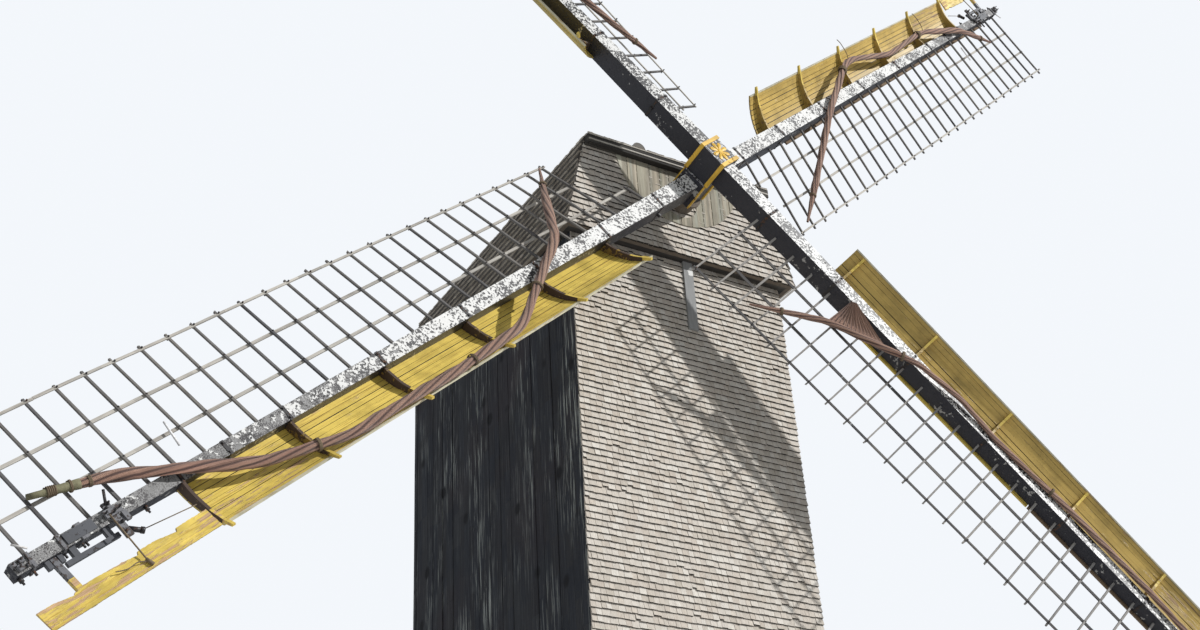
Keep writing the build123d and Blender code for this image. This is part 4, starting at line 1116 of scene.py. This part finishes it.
def rolled_canvas(number):
    rng = np.random.default_rng(140 + number)
    line, length = rounded(ROUTES[number])
    count = len(line)
    lumps = np.interp(np.linspace(0, 1, count), np.linspace(0, 1, 26), rng.uniform(0.74, 1.0, 26))
    phase = rng.uniform(0, 6, 4)
    roll, uvs = Shape(), []
    roll.smooth = True
    for i, place in enumerate(line):
        _, side, over = axes_at(line, i)
        share = i / (count - 1)
        thinned = min(1.0, 0.32 + share * 8, 0.38 + (1 - share) * 9)
        flat = 0.72 if abs(place.y) < 0.25 else 0.9
        radius = CLOTH_RADIUS[number] * lumps[i] * thinned
        twist = 2.3 * share * length + phase[0]
        for turn in spaced(0, 1, AROUND):
            around = 2 * math.pi * TURNS[number] * turn
            fold = 2.5 * around - 0.8 * twist
            strand = 0.80 + 0.26 * abs(math.cos(fold)) - 0.05 * math.sin(9 * around + 2 * twist + phase[1])
            out, angle = radius * (0.18 + 0.82 * turn) * strand, around + twist
            roll.points.append(place + side * (out * math.cos(angle) / flat ** 0.5)
                               + over * (out * math.sin(angle) * flat))
            uvs.append((share * length, fold / math.pi))
    for i, j in itertools.product(range(count - 1), range(AROUND - 1)):
        a, b = i * AROUND + j, (i + 1) * AROUND + j
        roll.faces.append((a, b, b + 1, a + 1))
    if SAILS[number] == "lower_right":
        add_fan(roll, uvs, line)
    piece = on_sail(roll, "furled_canvas", number, canvas, "sail_canvas", ["cloth"])
    layer = piece.data.uv_layers.new(name="roll")
    layer.data.foreach_set("uv", [c for loop in piece.data.loops for c in uvs[loop.vertex_index]])
    print(SAILS[number], "cloth length", round(length, 2))
    return piece, line, length


def add_fan(roll, uvs, line):
    """A gathered corner of the canvas, pulled out from the stock's edge to the roll."""
    apex = over_stock(3.06, -0.95) - Z * 0.045
    inner = [p for p in line if 3.0 < p.x < 3.95]
    start, rows, folds = len(roll.points), 9, len(inner) * 3
    for t in spaced(0, 1, rows):
        for j in range(folds):
            along = j / (folds - 1) * (len(inner) - 1)
            k = min(int(along), len(inner) - 2)
            rim = inner[k].lerp(inner[k + 1], along - k)
            gather = 0.022 * math.sin(j * 1.35) * math.sin(math.pi * min(1.0, 0.15 + t))
            roll.points.append(apex.lerp(rim, 0.08 + 0.92 * t) + Z * (gather - 0.02 * math.sin(math.pi * t)))
            uvs.append((t * 0.8, j * 0.215))
    for i, j in itertools.product(range(rows - 1), range(folds - 1)):
        a = start + i * folds + j
        roll.faces.append((a, a + folds, a + folds + 1, a + 1))


cloth_rolls = [rolled_canvas(number) for number in range(4)]
cloth_lines = [line for roll, line, length in cloth_rolls]

# %% [markdown]
# ## Ropes and tip gear
# Thin ropes tie each roll to the bars and ribs. At two tips an iron clamp, a bar and a short lever
# sit on the stock, with a taut wire and a taut rope to the narrow board.

# %% Ties
class Rods(Shape):
    """Round rods and ropes, each given by the points along its middle."""

    def rod(self, line, radius, sides=7, end_radius=None):
        """A round rod or rope along a line."""
        line = [Vector(p) for p in line]
        start, last, self.smooth = len(self.points), len(line) - 1, True
        for i, p in enumerate(line):
            _, side, over = axes_at(line, i, Vector((0.31, 0.17, 0.93)))
            size = radius if end_radius is None else radius + (end_radius - radius) * i / last
            for k in range(sides):
                a = 2 * math.pi * k / sides
                self.points.append(p + side * (size * math.cos(a)) + over * (size * math.sin(a)))
        for i, k in itertools.product(range(last), range(sides)):
            a, b = start + i * sides + k, start + i * sides + (k + 1) % sides
            self.faces.append((a, b, b + sides, a + sides))
        self.faces.append(tuple(start + k for k in reversed(range(sides))))
        self.faces.append(tuple(start + last * sides + k for k in range(sides)))

    def wrap(self, line, at, radius, turns, thick, pitch=0.012):
        """A rope wound round a roll of canvas, at a share of the roll's length."""
        i = min(max(int(at * (len(line) - 1)), 1), len(line) - 2)
        ahead, side, over = axes_at(line, i)
        self.rod([line[i] + ahead * (pitch * (s / 14 - turns / 2)) + side * (radius * math.cos(s * math.pi / 7))
                  + over * (radius * 0.85 * math.sin(s * math.pi / 7)) for s in range(14 * turns + 1)], thick, 6)


TIES = ((0.06, 0.40, 0.74, 0.97), (0.05, 0.35, 0.66, 0.95), (0.05, 0.30, 0.48, 0.72, 0.955),
        (0.05, 0.24, 0.52, 0.80, 0.96))         # where each roll is tied, in shares of its length
for number, places in enumerate(TIES):
    ties = Rods()
    for at in places:
        ties.wrap(cloth_lines[number], at, 0.076 if 0.1 < at < 0.9 else 0.058, 3, 0.008)
    on_sail(ties, "cloth_ties", number, rope, "sail_canvas")


# %% Tip gear
def tip_gear(number):
    iron, bare, bolts, lines, sticks = Shape(), Shape(), Rods(), Rods(), Rods()
    face = stock_face(11.62) + 0.002
    iron.box((11.575, -0.13, face), (11.665, 0.31, face + 0.030))
    iron.box((11.52, -0.045, face + 0.030), (11.72, 0.045, face + 0.062))
    iron.box((11.49, 0.045, face + 0.010), (11.545, 0.16, face + 0.048))
    for x, y, high in ((11.60, -0.10, 0.085), (11.65, -0.06, 0.07), (11.60, 0.14, 0.075), (11.645, 0.25, 0.085),
                       (11.54, 0.0, 0.12), (11.70, -0.01, 0.11), (11.62, 0.02, 0.135)):
        bolts.rod([(x, y, face), (x, y, face + high)], 0.011, 6)
        bolts.rod([(x, y, face + 0.028), (x, y, face + 0.052)], 0.021, 6)
    bolts.rod([(11.63, -0.10, face + 0.05), (11.56, -0.24, face + 0.075)], 0.016)
    bolts.rod([(11.52, 0.20, 0.0), (11.42, 0.29, 0.01)], 0.030, 8)
    bolts.rod([(11.43, 0.28, 0.01), (11.40, 0.305, 0.01)], 0.038, 8)
    for x, wide in ((11.98, 0.022), (12.02, 0.016), (12.24, 0.020), (12.60, 0.018)):
        half = stock_half(x) + 0.002
        iron.box((x - wide, -half - 0.012, -face), (x + wide, half + 0.012, face + 0.012))
        bolts.rod([(x, half, 0.0), (x, half + 0.065, 0.0)], 0.014, 6)
    bare.box((11.84, -0.062, face), (12.20, 0.062, face + 0.020))
    for x, y, size in ((12.69, -0.035, 0.026), (12.74, 0.03, 0.030), (12.65, 0.035, 0.020), (12.78, -0.03, 0.022),
                       (12.72, 0.0, 0.018)):
        iron.box((x - size, y - size, face - 0.01), (x + size, y + size, face + size * 1.5))
        bolts.rod([(x, y, face), (x + 0.01, y - 0.01, face + size * 3)], 0.008, 6)
    for x, y in ((11.21, 0.085), (12.76, 0.075)):
        bolts.rod([(x, y, 0.0), (x, y + 0.055, 0.0)], 0.026, 6)
        bolts.rod([(x, y, 0.0), (x, y + 0.085, 0.0)], 0.013, 6)
    bare.box((11.66, 0.185, 0.0), (12.31, 0.240, 0.050))
    for x in (11.74, 12.16):
        bare.box((x - 0.035, 0.080, -0.015), (x + 0.035, 0.185, 0.045))
    for x in (12.31, 12.455):
        bare.box((x - 0.026, 0.080, -0.02), (x + 0.026, 0.170, 0.04))
    on_sail(iron, "tip_clamp", number, grey_iron, "black_iron")
    on_sail(bare, "tip_bar", number, dark_steel, "black_iron")
    on_sail(bolts, "tip_bolts", number, strap_iron, "black_iron")
    rise = tip_rise(11.71) + 0.02
    lines.rod([(11.43, 0.285, 0.01), (10.80, 0.38, 0.11)], 0.006)
    lines.rod([(11.70, 0.03, face + 0.10), (11.71, 0.64, rise + 0.03)], 0.009)
    lines.rod([(11.71, 0.62, rise + 0.02), (11.69, 0.71, rise + 0.035)], 0.020)
    on_sail(lines, "tip_lines", number, rope, "sail_canvas")
    on_bar = leaning(10.4) @ Vector((0, -0.65, 0))
    sticks.rod([(12.56, -0.11, 0.11), (12.66, -0.23, 0.09)], 0.011)
    sticks.rod([(10.34, -0.65, on_bar.z + 0.05), (10.40, -0.32, -0.01)], 0.013)
    on_sail(sticks, "tip_sticks", number, stick_wood, "weathered_wood")


for number in (0, 2):
    tip_gear(number)

# %% [markdown]
# ## Ends of cloths and ropes
# Three rolls end in a greenish scrap that is tied to a bar. Four rope ends hang free, so they are
# curves.

# %% Canvas wraps and loose ends
def wrapped_end(number):
    """A greenish scrap of canvas and a few turns of rope that tie the roll's outer end to a bar."""
    line = cloth_lines[number]
    scrap, wraps = Rods(), Rods()
    past = line[-1] + (line[-1] - line[-3]).normalized() * 0.14
    scrap.rod([*line[-9:], past], 0.058, 14, 0.034)
    made = on_sail(scrap, "canvas_scrap", number, green_canvas, "sail_canvas")
    wraps.wrap(line, 0.975, 0.064, 2, 0.008)
    wraps.wrap(line, 0.993, 0.052, 5, 0.010, 0.020)
    on_sail(wraps, "end_ropes", number, rope, "sail_canvas")
    return made


for number, (roll, line, length) in enumerate(cloth_rolls):
    scraps = [wrapped_end(number)] if number else []


def loose_end(name, number, route, diameter):
    """A free end of rope: a smooth curve led by a few points."""
    curve = bpy.data.curves.new(name, "CURVE")
    curve.dimensions = "3D"
    spline = curve.splines.new("NURBS")
    spline.points.add(len(route) - 1)
    for knot, p in zip(spline.points, route):
        knot.co = (*p, 1)
    spline.order_u = 3
    spline.use_endpoint_u = True
    curve.materials.append(rope)
    piece = bpy.data.objects.new(name, curve)
    scene.collection.objects.link(piece)
    line = bpy.data.meshes.new_from_object(piece)
    curve.bevel_depth = diameter / 2
    piece.matrix_world = arm_place(number)
    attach(piece, "rotor")


LOOSE_ROUTE = ((0, 0, 0), (0.03, 0.07, 0.035), (0.07, 0.17, 0.045), (0.12, 0.28, 0.045), (0.16, 0.36, 0.04),
               (0.17, 0.43, 0.03))
TIP_ROUTE = ((11.70, 0.66, 0), (11.75, 0.625, 0), (11.82, 0.60, 0), (11.90, 0.615, -0.004), (11.98, 0.60, -0.008),
             (12.05, 0.57, -0.010))
for mark, r, share, at in (("inner", 5.93, 0.75, 0.395), ("outer", 9.17, 0.45, 0.735)):
    knot = Rods()
    knot.wrap(cloth_lines[0], at, 0.082, 5, 0.009)
    knot.piece(f"rope_knot_{mark}", rope, "rotor", "sail_canvas", place=arm_place(0))
    loose_end(f"loose_end_{mark}", 0, [on_ribs(r, share, 0.05) + Vector(s) for s in LOOSE_ROUTE], 0.014)
for number in (0, 2):
    above = Z * (tip_rise(11.85) + 0.048)
    loose_end(f"tip_rope_end_{SAILS[number]}", number, [Vector(p) + above for p in TIP_ROUTE], 0.012)

# %% [markdown]
# ## Frame pieces that stay as they are
# Timbers, stocks and the insides of walls keep their CAD shape and only need a finish. The ridge
# log and the hanging board have a finish of their own: growth rings, and a remnant of white paint.

# %% Furnish the carried-over nodes
def log_finish():
    """Weathered log: streaks along it, and growth rings on its pale sawn end."""
    material, tree, at, own = new_material("log")
    low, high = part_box("ridge_log")
    lines = use(tree, grain, at["Object"], (40, 3, 40), 0.7)
    middle = stretched(tree, at["Object"], (1, 0, 1))
    out = measured(tree, "DISTANCE", middle, (0.0, 0.0, (low.z + high.z) / 2))
    wave = calc(tree, "SINE", calc(tree, "MULTIPLY", out, 260.0))
    end = mix(tree, fit(tree, wave, -1.0, 1.0), (0.19, 0.175, 0.155), (0.10, 0.092, 0.08))
    bark = mix(tree, lines["Fine"], (0.13, 0.115, 0.10), (0.05, 0.045, 0.04))
    surface(tree, mix(tree, facing(tree, at, -Y), bark, end), lines["Fine"], (0.8, 0.95), 0.5, 0.006)
    return material


def hanging_finish():
    """Grey board with a remnant of white paint near its upper right corner."""
    material, tree, at, own = new_material("hanging_board")
    low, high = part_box("hanging_board")
    lines = use(tree, grain, at["Object"], (60, 60, 3), 0.7)
    near = measured(tree, "DISTANCE", at["Object"], (high.x, low.y, high.z - 0.16))
    ragged = calc(tree, "MULTIPLY_ADD", noise(tree, at["Object"], 14.0, 3.0), 0.16, near)
    grey = mix(tree, lines["Fine"], (0.30, 0.30, 0.295), (0.21, 0.21, 0.205))
    colour = mix(tree, fit(tree, ragged, 0.15, 0.17, 1.0, 0.0), grey, (0.72, 0.71, 0.68))
    surface(tree, colour, lines["Fine"], (0.8, 0.95), 0.4, 0.005)
    return material


for material, names in (
    (inside_wood, ("front_wall", "left_wall", "right_wall", "rear_wall", "front_gable", "rear_gable", "hip_front",
                   "hip_rear", "roof_lower_left", "roof_lower_right", "roof_upper_left", "roof_upper_right")),
    (timber_x, ("crosstree_lower", "saddle", "quarter_bars_across", "crown_tree", "neck_beam", "tail_beam",
                "tail_sill", "step_treads", "step_yoke")),
    (timber_y, ("crosstree_upper", "quarter_bars_along", "sheers", "lower_floor", "side_girts", "tail_pole",
                "step_stringers", "windshaft")),
    (timber_z, ("main_post",)), (dark_timber, ("eaves_ring", "verge_board")), (tarred_board, ("rear_door",)),
    (lime_mortar, ("brick_piers",)), (log_finish(), ("ridge_log",)), (hanging_finish(), ("hanging_board",)),
    (poll_paint, ("poll_end",)), (rim_paint, ("poll_rims",)), (front_stock_paint, ("front_stock",)),
    (rear_stock_paint, ("rear_stock",)),
):
    for name in names:
        nodes[name].data.materials.clear()
        nodes[name].data.materials.append(material)

# %% [markdown]
# ## Floor
# A large pale floor catches the mill's shadow and lights it from below. It is stage only.

# %% Floor
floor_mesh = bpy.data.meshes.new("floor")
floor_mesh.from_pydata([(-400, -400, 0), (400, -400, 0), (400, 400, 0), (-400, 400, 0)], [], [(0, 1, 2, 3)])
floor = bpy.data.objects.new("floor", floor_mesh)
scene.collection.objects.link(floor)
floor_material = bpy.data.materials.new("pale_floor")
floor_material.use_nodes = True
floor_inputs = floor_material.node_tree.nodes["Principled BSDF"].inputs
floor_inputs["Base Color"].default_value = (0.62, 0.62, 0.61, 1)
floor_inputs["Roughness"].default_value = 0.9
floor_mesh.materials.append(floor_material)
